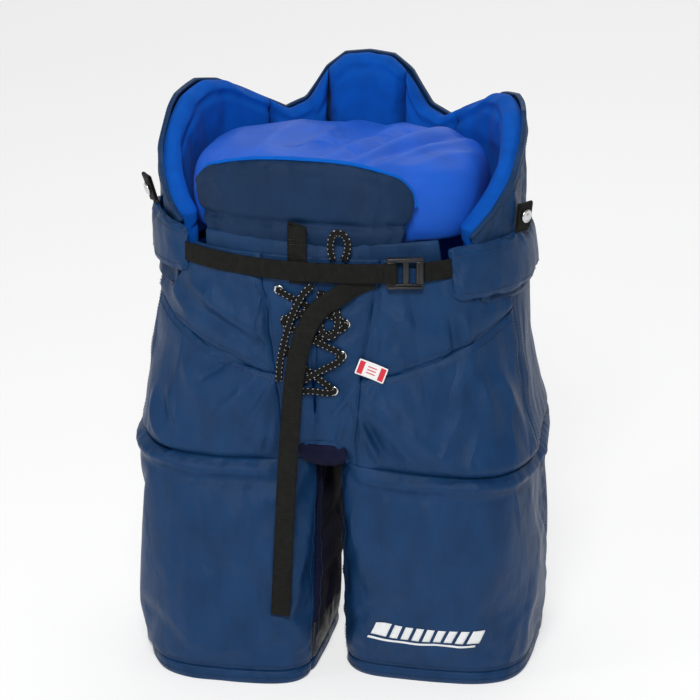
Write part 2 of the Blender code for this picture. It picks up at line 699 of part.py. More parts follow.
def build_eyelet_strips():
    """A stay down each facing with a hole for the lace at every eyelet."""
    half = EYELET_STRIP_WIDTH / 2
    hole = EYELET_STRIP_WIDTH / 4
    for side in SIDES:
        levels = [EYELET_HEIGHTS[-1] - EYELET_MARGIN]
        for height in reversed(EYELET_HEIGHTS):
            levels += [height - hole, height + hole]
        levels.append(EYELET_HEIGHTS[0] + EYELET_MARGIN)
        offsets = (-half, -hole, hole, half)
        heights = list(reversed(EYELET_HEIGHTS))
        places = list(reversed(EYELET_X[side]))
        points = []
        for out in EYELET_OUTS:
            for offset in offsets:
                for level in levels:
                    middle = float(np.interp(level, heights, places))
                    angle = math.degrees(math.atan2(middle + offset, look_up(BODY, level, 2)))
                    points.append(body_point(angle, level, -out))
        holes = {(1, 1 + 2 * row) for row in range(len(EYELET_HEIGHTS))}
        faces = pierced_faces(len(offsets), len(levels), holes)
        name = f"eyelet_strip_{side}"
        add_object(name, mesh_from(name, points, faces), "silver_metal")


def build_lacing():
    """The threaded lace, one piece: down the eyelets in a zigzag, across, and back up in front."""
    order = [("right", 0), ("left", 1), ("right", 2), ("left", 3), ("right", 3), ("left", 2), ("right", 1), ("left", 0)]
    outs = [LACE_OUTS[0]] * 4 + [LACE_OUTS[1]] * 4
    stops = []
    for (side, row), out in zip(order, outs):
        inwards = -SIDES[side] * LACE_WIDTH / 2
        stops.append(eyelet_place(side, row, out) + Vector((inwards, 0.0, 0.0)))
    path = []
    for start, end in zip(stops, stops[1:]):
        for share in (0.12, 0.5, 0.88):
            point = start.lerp(end, share)
            out = outs[0] if len(path) < 10 else outs[-1]
            point.y = min(point.y, body_point(0, point.z, -out).y)
            path.append(point)
    rings = strap_points(path, [Vector((0.0, -1.0, 0.0))] * len(path), LACE_WIDTH, LACE_THICK)
    loft("fly_lace", rings, "black_webbing")


def build_lace_ends():
    """The bow: a loop that stands above the belt, and a loop and an end that hang below it."""
    upper = empty_at("bow_loop_axis", UPPER_LOOP[0])
    free_strap("bow_loop_upper", UPPER_LOOP, 16, LACE_WIDTH, LACE_THICK, "black_webbing", upper)
    lower = empty_at("lace_ends_axis", LACE_AXIS)
    free_strap("bow_loop_lower", LOWER_LOOP, 18, LACE_WIDTH, LACE_THICK, "black_webbing", lower)
    free_strap("lace_end", LACE_END, 20, LACE_WIDTH, LACE_THICK, "black_webbing", lower)


# ---------------------------------------------------------------- small trim
def build_trim():
    """The webbing keeper on the fly, the woven side label and the printed bars on a leg."""
    body_strap_vertical("fly_keeper", KEEPER_PATH, WEB_WIDTH)
    outward = body_normal(LABEL_ANGLE, LABEL_HEIGHT)
    centre = body_point(LABEL_ANGLE, LABEL_HEIGHT) + outward * LABEL_OUT
    turn = math.atan2(outward.x, -outward.y)
    flat_patch("side_label", centre, turn, LABEL_TILT, LABEL_SIZE, "label_cloth")
    leg = leg_surface("left")
    panel("leg_mark", leg, MARK_ANGLES, MARK_HEIGHTS, MARK_LAYER, "mark_print", rows=1)


def body_strap_vertical(name, path, width):
    """A strap that runs up the front of the body."""
    points = [Vector(point) for point in path]
    loft(name, strap_points(points, [Vector((0.0, -1.0, 0.0))] * len(points), width, WEB_THICK), "black_webbing")


def flat_patch(name, centre, turn, tilt, size, finish):
    """A thin plate on the shell, turned about +Z to face outwards and tilted in its own plane."""
    bpy.ops.mesh.primitive_cube_add(size=1.0, location=centre, rotation=(0.0, 0.0, 0.0))
    item = bpy.context.object
    item.name = name
    item.data.name = name
    shape = Matrix.Rotation(turn, 4, "Z") @ Matrix.Rotation(tilt, 4, "Y") @ Matrix.Diagonal((*size, 1.0))
    item.data.transform(shape)
    item.data.materials.append(material(finish))


def main():
    """Build every piece of the pants."""
    clear_scene()
    for side in SIDES:
        build_leg(side)
    build_crotch_gusset()
    build_hips()
    build_fly()
    build_band()
    build_insert()
    build_flap()
    build_belt()
    build_buckle()
    build_belt_tail()
    build_tabs()
    build_eyelet_strips()
    build_lacing()
    build_lace_ends()
    build_trim()


main()
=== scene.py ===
"""The finished look of the ice hockey pants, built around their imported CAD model.

Lengths are in metres and angles in degrees. An angle round the body starts at the front and grows
towards the wearer's left. An angle round a leg starts at its front and grows towards its outside.
"""
import json
import math

import bmesh
import bpy
import numpy as np
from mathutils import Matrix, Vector, noise

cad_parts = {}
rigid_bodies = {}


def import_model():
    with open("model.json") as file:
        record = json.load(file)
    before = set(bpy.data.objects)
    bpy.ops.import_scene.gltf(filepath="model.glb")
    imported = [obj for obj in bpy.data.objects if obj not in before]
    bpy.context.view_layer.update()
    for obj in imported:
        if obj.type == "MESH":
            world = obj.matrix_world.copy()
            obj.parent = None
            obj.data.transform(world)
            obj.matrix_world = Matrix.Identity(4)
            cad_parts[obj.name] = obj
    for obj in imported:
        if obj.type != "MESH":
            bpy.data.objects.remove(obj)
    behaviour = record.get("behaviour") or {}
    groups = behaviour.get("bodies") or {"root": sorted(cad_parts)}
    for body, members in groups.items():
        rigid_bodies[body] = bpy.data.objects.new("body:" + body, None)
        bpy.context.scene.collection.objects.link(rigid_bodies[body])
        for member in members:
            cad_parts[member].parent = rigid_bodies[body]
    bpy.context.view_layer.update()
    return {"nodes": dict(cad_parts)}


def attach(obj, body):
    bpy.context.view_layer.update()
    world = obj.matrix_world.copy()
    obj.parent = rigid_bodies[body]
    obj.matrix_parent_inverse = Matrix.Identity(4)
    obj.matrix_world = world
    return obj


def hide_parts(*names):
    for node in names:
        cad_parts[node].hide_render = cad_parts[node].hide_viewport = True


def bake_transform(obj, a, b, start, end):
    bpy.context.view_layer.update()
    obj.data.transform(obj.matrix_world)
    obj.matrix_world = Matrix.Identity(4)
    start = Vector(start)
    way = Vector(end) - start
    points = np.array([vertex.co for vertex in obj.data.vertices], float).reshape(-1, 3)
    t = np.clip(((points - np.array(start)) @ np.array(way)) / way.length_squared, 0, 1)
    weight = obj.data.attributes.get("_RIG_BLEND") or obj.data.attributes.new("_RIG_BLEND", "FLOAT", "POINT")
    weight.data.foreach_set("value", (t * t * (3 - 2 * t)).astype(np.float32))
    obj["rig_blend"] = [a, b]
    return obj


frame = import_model()

# ---------------------------------------------------------------- sizes shared with the CAD model
BODY = np.array((
    (0.220, 0.2065, 0.132, 0.133, 3.9),
    (0.245, 0.2070, 0.133, 0.134, 3.9),
    (0.300, 0.1965, 0.136, 0.143, 3.0),
    (0.340, 0.1905, 0.135, 0.147, 2.6),
    (0.400, 0.1885, 0.131, 0.149, 2.3),
    (0.440, 0.1865, 0.129, 0.150, 2.3),
    (0.500, 0.1865, 0.126, 0.152, 2.3),
    (0.600, 0.1830, 0.124, 0.152, 2.3),
))
LEG = np.array(((0.000, 0.0960, 0.126), (0.014, 0.0965, 0.126), (0.120, 0.0985, 0.128), (0.270, 0.0995, 0.131)))
LEG_CENTRE, LEG_SHIFT, LEG_POWER = 0.1078, 0.003, 3.0
# How much rounder each leg is at its outer front corner, down at the hem.
HEM_CORNER = {"right": 0.95, "left": -1.3}
LEG_TOP = 0.245
STRIDE = {"right": -0.026, "left": 0.014}
SIDES = {"right": -1, "left": 1}
RIM = np.array((
    (50, 0.452), (58, 0.466), (70, 0.494), (80, 0.526), (90, 0.553), (100, 0.572), (112, 0.580),
    (122, 0.575), (135, 0.556), (147, 0.538), (155, 0.548), (163, 0.582), (170, 0.597), (180, 0.600),
))
YOKE_SEAM = np.array(((0, 0.330), (18, 0.334), (30, 0.339), (47, 0.355), (60, 0.372), (75, 0.392), (100, 0.350)))
FLY_SEAM = np.array(((0.245, 14.5), (0.320, 17.0), (0.370, 20.0), (0.456, 26.5)))
# Height of the puckered seam round the top of each leg, by angle round the leg.
THIGH_SEAM = {
    "right": np.array(((-47, 0.243), (0, 0.240), (30, 0.242), (60, 0.250), (97, 0.261), (180, 0.258), (238, 0.246),
                       (313, 0.243))),
    "left": np.array(((-47, 0.240), (0, 0.236), (30, 0.234), (60, 0.238), (97, 0.250), (180, 0.254), (238, 0.246),
                      (313, 0.240))),
}
FRONT_TOP = 0.456
# How far the band's upper part stands over to one side.
BAND_LEAN = -0.0035
# The band is drawn in on the wearer's left, most at this height.
TUCK, TUCK_HEIGHT = 0.0075, 0.477
BAND_BOTTOM = 0.402
HEM_HEIGHT = 0.014
PATCH_TOP = 0.050
PAD_BOTTOM = 0.420
CROTCH_TOP = 0.280
SIDE_SEAM, BACK_SEAM, BAND_FRONT = 75, 135, 60
WING_SEAM, SPINE_SEAM = 139, 163
LEG_SEAMS = (-47, 97, 238)
WEB_WIDTH, WEB_THICK, BELT_HEIGHT = 0.020, 0.0016, 0.4458
LACE_WIDTH, LACE_THICK = 0.007, 0.0012
BUCKLE_ANGLE, BUCKLE_WIDTH, BUCKLE_HEIGHT = 35.0, 0.036, 0.031
BUCKLE_THICK, BUCKLE_OUT = 0.0055, 0.0096
# Each belt cover: angle of its front and back end, its lower and upper edge, and how far the front sags.
COVERS = {"right": (55.0, 112, 0.422, 0.4765, 0.006), "left": (50.5, 112, 0.4115, 0.467, 0.0)}
FLAP_ANGLES, FLAP_FOLD = (-56, 42), 0.487
EYELET_HEIGHTS = (0.421, 0.391, 0.359, 0.322)
EYELET_X = {"right": (-0.040, -0.033, -0.029, -0.026), "left": (0.031, 0.027, 0.024, 0.016)}
TAB_FOOT = (0.1900, -0.034, 0.474)
TAB_TURN = math.radians(34)
# Each suspender tab: how far its foot is in from that and below it, its length and how far it leans out.
TABS = {"right": (0.0, 0.000, 0.031, math.radians(17)), "left": (0.0035, 0.008, 0.030, math.radians(4))}
INSERT_HALF, INSERT_FRONT, INSERT_BACK = 0.146, 0.100, 0.112
LABEL_ANGLE, LABEL_HEIGHT, LABEL_TILT = 22.0, 0.345, math.radians(20)
LABEL_SIZE = (0.030, 0.0165)
# Mean radii, which turn an angle round the body, the belt, the flap or a leg into a distance.
BODY_ROUND, BELT_ROUND, FLAP_ROUND, LEG_ROUND = 0.165, 0.160, 0.150, 0.115
# The same for the cloth's own coordinates, in metres.
BODY_CLOTH, LEG_CLOTH = 0.17, 0.12

# Routes of the free straps and laces.
BELT_TAIL = (
    (0.0530, -0.1290, 0.4380), (0.0380, -0.1312, 0.4310), (0.0200, -0.1390, 0.4200), (0.0020, -0.1408, 0.4060),
    (-0.0105, -0.1425, 0.3850), (-0.0180, -0.1440, 0.3600), (-0.0230, -0.1455, 0.3250), (-0.0260, -0.1463, 0.2850),
    (-0.0290, -0.1475, 0.2400), (-0.0315, -0.1485, 0.1900), (-0.0340, -0.1490, 0.1400), (-0.0360, -0.1495, 0.0950),
    (-0.0370, -0.1500, 0.0800),
)
UPPER_LOOP = (
    (0.0150, -0.1330, 0.4560), (0.0130, -0.1345, 0.4650), (0.0135, -0.1365, 0.4760), (0.0180, -0.1385, 0.4845),
    (0.0260, -0.1385, 0.4840), (0.0300, -0.1365, 0.4760), (0.0290, -0.1345, 0.4650), (0.0255, -0.1330, 0.4560),
)
LOWER_LOOP = (
    (0.0040, -0.1361, 0.4250), (0.0020, -0.1371, 0.4120), (0.0020, -0.1381, 0.3980), (0.0050, -0.1392, 0.3850),
    (0.0120, -0.1397, 0.3790), (0.0190, -0.1392, 0.3850), (0.0208, -0.1380, 0.3980), (0.0180, -0.1369, 0.4100),
    (0.0150, -0.1362, 0.4180),
)
LACE_END = (
    (-0.0050, -0.1358, 0.4300), (-0.0130, -0.1370, 0.4220), (-0.0210, -0.1385, 0.4080), (-0.0275, -0.1395, 0.3900),
    (-0.0330, -0.1400, 0.3700), (-0.0370, -0.1405, 0.3500), (-0.0385, -0.1410, 0.3300),
)
KEEPER_PATH = (
    (-0.0215, -0.1305, 0.4860), (-0.0215, -0.1310, 0.4700), (-0.0210, -0.1322, 0.4500), (-0.0195, -0.1332, 0.4300),
)

# Thicknesses of the cloth pieces.
CLOTH_THICK, HEM_THICK, PATCH_THICK, BAND_THICK = 0.0018, 0.0028, 0.0022, 0.0020
LINER_THICK, LABEL_THICK, MARK_THICK = 0.0012, 0.0008, 0.0004
# How high the webbing's cross ribs stand, and how far a lace's edges wave.
WEB_RIB, LACE_SWAY = 0.00018, 0.0003
# Stitches: length, distance from one to the next, and thickness.
STITCH_LENGTH, STITCH_PITCH, STITCH_THICK = 0.0026, 0.0036, 0.0007
STITCH_SIDES = 6

# ---------------------------------------------------------------- camera
CAMERA_AZIMUTH, CAMERA_ELEVATION, CAMERA_DISTANCE = math.radians(11.46), math.radians(19.90), 2.764
CAMERA_TARGET = Vector((0.0, 0.0, 0.28))
CAMERA_LENS = 136.5
CAMERA_SHIFT = (0.007, 0.048)


def add_camera():
    """The camera stands in front, a little to the wearer's left, and looks down on the waist."""
    data = bpy.data.cameras.new("camera")
    data.lens = CAMERA_LENS
    data.shift_x, data.shift_y = CAMERA_SHIFT
    camera = link("camera", data)
    back = Vector((math.sin(CAMERA_AZIMUTH) * math.cos(CAMERA_ELEVATION),
                   -math.cos(CAMERA_AZIMUTH) * math.cos(CAMERA_ELEVATION), math.sin(CAMERA_ELEVATION)))
    camera.location = CAMERA_TARGET + back * CAMERA_DISTANCE
    camera.rotation_euler = (-back).to_track_quat("-Z", "Y").to_euler()
    bpy.context.scene.camera = camera


# ---------------------------------------------------------------- surfaces
def bell(value, middle, width):
    """A soft bump: 1 at the middle, gone a little beyond the width."""
    return np.exp(-((value - middle) / width) ** 2)


def ramp(value, start, run):
    """0 up to the start, then straight up to 1 at the end of the run."""
    return np.clip((value - start) / run, 0.0, 1.0)


def arch(share, power):
    """0 at both ends of the share from 0 to 1, and 1 in the middle."""
    return np.sin(math.pi * np.clip(share, 0.0, 1.0)) ** power


def angle_of(points):
    """Angle round the body of an array of points."""
    return np.degrees(np.arctan2(points[..., 0], -points[..., 1]))


def unit(vectors):
    """An array of vectors, each made one long."""
    return vectors / np.linalg.norm(vectors, axis=-1, keepdims=True)


def facing_out(path):
    """Normals away from the body's axis."""
    return unit(np.asarray(path) * np.array([1.0, 1.0, 0.0]))


def outline(turn, half_width, half_depth, power):
    """Distance from the centre to a rounded outline, for an array of turns in radians."""
    across = np.abs(np.sin(turn)) / half_width
    along = np.abs(np.cos(turn)) / half_depth
    return (across ** power + along ** power) ** (-1.0 / power)


def body_xyz(angle, height, out=0.0):
    """Points on the body's outline, moved outwards. The arguments are numbers or arrays of one shape."""
    angle, height, out = np.broadcast_arrays(*(np.asarray(x, float) for x in (angle, height, out)))
    turn = np.radians(angle)
    half_width = np.interp(height, BODY[:, 0], BODY[:, 1]) + out
    front = np.interp(height, BODY[:, 0], BODY[:, 2])
    back = np.interp(height, BODY[:, 0], BODY[:, 3])
    half_depth = np.where(np.cos(turn) > 0, front, back) + out
    radius = outline(turn, half_width, half_depth, np.interp(height, BODY[:, 0], BODY[:, 4]))
    lean = BAND_LEAN * ramp(height, 0.450, 0.080)
    tuck = TUCK * bell(height, TUCK_HEIGHT, 0.034) * np.clip(np.sin(turn), 0.0, 1.0) ** 2
    return np.stack([radius * np.sin(turn) + lean - tuck, -radius * np.cos(turn), height], -1)


def wrapped(angle):
    """An angle between -180 and 180."""
    return (np.asarray(angle, float) + 180.0) % 360.0 - 180.0


def leg_xyz(side, angle, height, out=0.0):
    """Points on a leg's outline. The leg is squarer at its front inner corner."""
    angle, height, out = np.broadcast_arrays(*(np.asarray(x, float) for x in (angle, height, out)))
    turn = np.radians(angle)
    half_width = np.interp(height, LEG[:, 0], LEG[:, 1]) + out
    half_depth = np.interp(height, LEG[:, 0], LEG[:, 2]) + out
    corner = bell(wrapped(angle + 47), 0.0, 34.0)
    behind = bell(wrapped(angle - 225), 0.0, 40.0)
    outer = bell(wrapped(angle - 60), 0.0, 35.0) * HEM_CORNER[side] * np.clip(1.0 - height / 0.08, 0.0, 1.0)
    radius = outline(turn, half_width, half_depth, LEG_POWER + 2.4 * corner - 0.7 * behind - outer)
    shift = STRIDE[side] * (1.0 - height / LEG_TOP)
    across = LEG_SHIFT + SIDES[side] * (LEG_CENTRE + radius * np.sin(turn))
    return np.stack([across, shift - radius * np.cos(turn), height], -1)


def rim_height(angle):
    """Upper edge of the padded band."""
    return np.interp(np.abs(wrapped(angle)), RIM[:, 0], RIM[:, 1])


def yoke_seam(angle):
    """Height of the seam under the front yoke, which dies out behind the side seam."""
    return np.interp(np.abs(wrapped(angle)), YOKE_SEAM[:, 0], YOKE_SEAM[:, 1])


def fly_seam(height):
    """Angle of the fly's outer seam."""
    return np.interp(height, FLY_SEAM[:, 0], FLY_SEAM[:, 1])


def flap_top(angle):
    """Upper edge of the belly flap."""
    share = np.minimum(np.abs(np.asarray(angle, float) + 7.0) / 49.0, 1.0)
    return 0.549 - 0.022 * share ** 3


def body_out(angle, height):
    """Outward unit vector of the body's outline."""
    along = body_xyz(angle + 1.0, height) - body_xyz(angle - 1.0, height)
    return Vector((along[1], -along[0], 0.0)).normalized()


# Points worked out between each pair of a path's own points, before they are spaced evenly.
PATH_TICKS = 12


def smooth_path(points, step):
    """Points at even steps along a smooth curve through the given points."""
    knots = [Vector(point) for point in points]
    knots = [knots[0] * 2 - knots[1]] + knots + [knots[-1] * 2 - knots[-2]]
    dense = []
    for index in range(1, len(knots) - 2):
        before, start, end, after = knots[index - 1:index + 3]
        for t in np.arange(PATH_TICKS) / PATH_TICKS:
            dense.append(0.5 * (2 * start + (end - before) * t + (2 * before - 5 * start + 4 * end - after) * t ** 2
                                + (3 * start - before - 3 * end + after) * t ** 3))
    dense.append(knots[-2])
    dense = np.array(dense)
    lengths = np.concatenate([[0.0], np.cumsum(np.linalg.norm(np.diff(dense, axis=0), axis=1))])
    marks = np.linspace(0, lengths[-1], max(int(lengths[-1] / step), 3))
    return np.stack([np.interp(marks, lengths, dense[:, axis]) for axis in range(3)], -1)


# ---------------------------------------------------------------- meshes
def grid_faces(rows, columns, wrap=False, flip=False):
    """Quads of a grid of points stored row by row."""
    last = columns if wrap else columns - 1
    row, column = np.meshgrid(np.arange(rows - 1), np.arange(last), indexing="ij")
    near = row * columns + column
    beside = row * columns + (column + 1) % columns
    faces = np.stack([near, beside, beside + columns, near + columns], -1).reshape(-1, 4)
    return faces[:, ::-1] if flip else faces


def make_piece(name, points, faces, finish, uvs=None):
    """An object from arrays of points and faces, with one UV pair for each point."""
    mesh = bpy.data.meshes.new(name)
    mesh.from_pydata(np.asarray(points).reshape(-1, 3).tolist(), [], [list(map(int, face)) for face in faces])
    if uvs is not None:
        corners = np.empty(len(mesh.loops), int)
        mesh.loops.foreach_get("vertex_index", corners)
        layer = mesh.uv_layers.new(name="UVMap")
        layer.data.foreach_set("uv", np.asarray(uvs, float).reshape(-1, 2)[corners].ravel())
    mesh.shade_smooth()
    mesh.materials.append(finish)
    return link(name, mesh)


def link(name, data):
    """A new object in the scene from a mesh, lamp or camera."""
    made = bpy.data.objects.new(name, data)
    bpy.context.scene.collection.objects.link(made)
    return made


def coordinates(mesh):
    """A mesh's points as an array."""
    points = np.empty(len(mesh.vertices) * 3)
    mesh.vertices.foreach_get("co", points)
    return points.reshape(-1, 3)


def finish_piece(piece, body, slot, *nodes):
    """Say which body a piece rides on and which CAD nodes it stands for, which are hidden. The slot, which names the
    finish it takes, is not used.
    """
    if piece.parent is None and "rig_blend" not in piece:
        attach(piece, body)
    if nodes:
        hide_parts(*nodes)


def subdivide(piece):
    """Smooth a piece by one subdivision."""
    smoother = piece.modifiers.new("smooth", "SUBSURF")
    smoother.levels = smoother.render_levels = 1


def thicken(piece, thickness, smooth=True):
    """Give a cloth grid its thickness, inwards."""
    if smooth:
        subdivide(piece)
    solid = piece.modifiers.new("thickness", "SOLIDIFY")
    solid.thickness = thickness
    solid.offset = -1.0


def set_points(piece, points):
    """Put a mesh's points in new places."""
    piece.data.vertices.foreach_set("co", points.ravel())
    piece.data.update()


def settle(piece, pins, frames, pressure, growth, cap, bending=0.4):
    """Let the cloth find its shape under pressure, with more cloth than room by the share called growth.

    Pinned points stay, and no other point moves further than the cap.
    """
    start = coordinates(piece.data)
    scene = bpy.context.scene
    cloth = piece.modifiers.new("cloth", "CLOTH")
    settings = cloth.settings
    group = piece.vertex_groups.new(name="pinned")
    group.add([int(pin) for pin in sorted(pins)], 1.0, "REPLACE")
    settings.vertex_group_mass = "pinned"
    settings.quality = 5
    settings.mass = 0.25
    settings.tension_stiffness = settings.compression_stiffness = 18
    settings.shear_stiffness = 6
    settings.bending_stiffness = bending
    settings.air_damping = 2.0
    settings.use_pressure = True
    settings.uniform_pressure_force = pressure
    settings.shrink_min = -growth
    settings.effector_weights.gravity = 0.0
    cloth.collision_settings.use_collision = False
    cloth.point_cache.frame_start = 1
    cloth.point_cache.frame_end = frames
    scene.frame_start, scene.frame_end = 1, frames
    for moment in range(1, frames + 1):
        scene.frame_set(moment)
    settled = piece.evaluated_get(bpy.context.evaluated_depsgraph_get())
    moved = coordinates(settled.data) - start
    piece.modifiers.remove(cloth)
    scene.frame_set(1)
    length = np.linalg.norm(moved, axis=1, keepdims=True)
    moved *= np.minimum(1.0, cap / np.maximum(length, 1e-9))
    points = start + moved
    set_points(piece, points)
    return points


def ruffle(points, scale, height, seed):
    """Small even unevenness for an array of points, between plus and minus the height."""
    shift = Vector((seed * 7.3, seed * 3.1, seed * 1.7))
    flat = np.asarray(points).reshape(-1, 3)
    values = [noise.noise(Vector(point) / scale + shift) for point in flat]
    return np.array(values).reshape(np.shape(points)[:-1]) * height


FOLD_GAIN = 1.7


def folds(along, height, lines):
    """Sum of soft folds. Each line is (start, start height, end, end height, width, size), in metres."""
    total = np.zeros(np.shape(along))
    for start, low, end, high, width, size in lines:
        run, rise = end - start, high - low
        share = np.clip(((along - start) * run + (height - low) * rise) / (run * run + rise * rise), 0.0, 1.0)
        away = (along - start - share * run) ** 2 + (height - low - share * rise) ** 2
        total += FOLD_GAIN * size * np.sin(math.pi * (0.10 + 0.80 * share)) * np.exp(-(away / width ** 2) ** 0.8)
    return total


def along_run(values, travelled, mark):
    """The value of an array of vectors at a distance along its run."""
    return np.array([np.interp(mark, travelled, values[:, axis]) for axis in range(3)])


def lifted(points, out, part, lift=0.0002):
    """A run for stitches: part of a grid of points, lifted off the cloth, and its outward vectors."""
    return points[part] + out[part] * lift, out[part]


def stitches(name, runs, finish):
    """Rows of sunk stitches. Each run is (points, outward vectors), both arrays."""
    points = []
    faces = []
    for line, outward in runs:
        line, outward = np.asarray(line, float), np.asarray(outward, float)
        steps = np.linalg.norm(np.diff(line, axis=0), axis=1)
        travelled = np.concatenate([[0.0], np.cumsum(steps)])
        for mark in np.arange(STITCH_PITCH / 2, travelled[-1], STITCH_PITCH):
            place = along_run(line, travelled, mark)
            ahead = along_run(line, travelled, mark + STITCH_PITCH / 2) - place
            out = along_run(outward, travelled, mark)
            ahead /= max(np.linalg.norm(ahead), 1e-9)
            out /= max(np.linalg.norm(out), 1e-9)
            side = np.cross(ahead, out)
            first = len(points)
            for share, size in ((-0.5, 0.35), (-0.3, 1.0), (0.3, 1.0), (0.5, 0.35)):
                radius = STITCH_THICK / 2 * size
                for turn in range(STITCH_SIDES):
                    spin = turn * math.tau / STITCH_SIDES
                    points.append(place + ahead * share * STITCH_LENGTH
                                  + radius * (side * math.cos(spin) + out * math.sin(spin)))
            for near in range(first, first + 3 * STITCH_SIDES, STITCH_SIDES):
                for turn in range(STITCH_SIDES):
                    start, end = near + turn, near + (turn + 1) % STITCH_SIDES
                    faces.append((start, end, end + STITCH_SIDES, start + STITCH_SIDES))
            faces.append(tuple(first + turn for turn in reversed(range(STITCH_SIDES))))
            faces.append(tuple(first + 3 * STITCH_SIDES + turn for turn in range(STITCH_SIDES)))
    return make_piece(name, np.array(points), faces, finish)


def edge_spaced(length, radius, step):
    """Distances from 0 to the length, close together within a radius of both ends."""
    near = radius * np.array([0.0, 0.06, 0.2, 0.45, 0.75])
    middle = np.linspace(radius, length - radius, max(int((length - 2 * radius) / step), 2))
    return np.concatenate([near, middle, (length - near)[::-1]])


def round_edge(distance, radius):
    """Share of the full thickness at a distance from a rounded edge."""
    return np.sqrt(np.clip(1.0 - (1.0 - np.minimum(distance, radius) / radius) ** 2, 0.0, 1.0))


def pillow(name, place, size, thick, radius, finish, step):
    """A closed stuffed shape. place(across, up, out) gives points for shares from 0 to 1.

    size is its width and height, thick its lowest and highest distance outwards, and radius the
    rounding of its edges.
    """
    width, height = size
    across = edge_spaced(width, radius, step)
    up = edge_spaced(height, radius, step)
    a, b = np.meshgrid(across, up)
    edge = round_edge(np.minimum(a, width - a), radius) * round_edge(np.minimum(b, height - b), radius)
    middle, half = (thick[0] + thick[1]) / 2, (thick[1] - thick[0]) / 2
    rows, columns = a.shape
    front = place(a / width, b / height, middle + half * edge)
    back = place(a / width, b / height, middle - half * edge)
    index = np.arange(rows * columns).reshape(rows, columns)
    behind = index.copy()
    inner = np.zeros((rows, columns), bool)
    inner[1:-1, 1:-1] = True
    behind[inner] = rows * columns + np.arange(inner.sum())
    front_faces = grid_faces(rows, columns)
    back_faces = behind.ravel()[front_faces][:, ::-1]
    points = np.concatenate([front.reshape(-1, 3), back[inner]])
    uv = np.stack([a, b], -1)
    uvs = np.concatenate([uv.reshape(-1, 2), uv[inner]])
    piece = make_piece(name, points, np.concatenate([front_faces, back_faces]), finish, uvs)
    return piece, index, behind


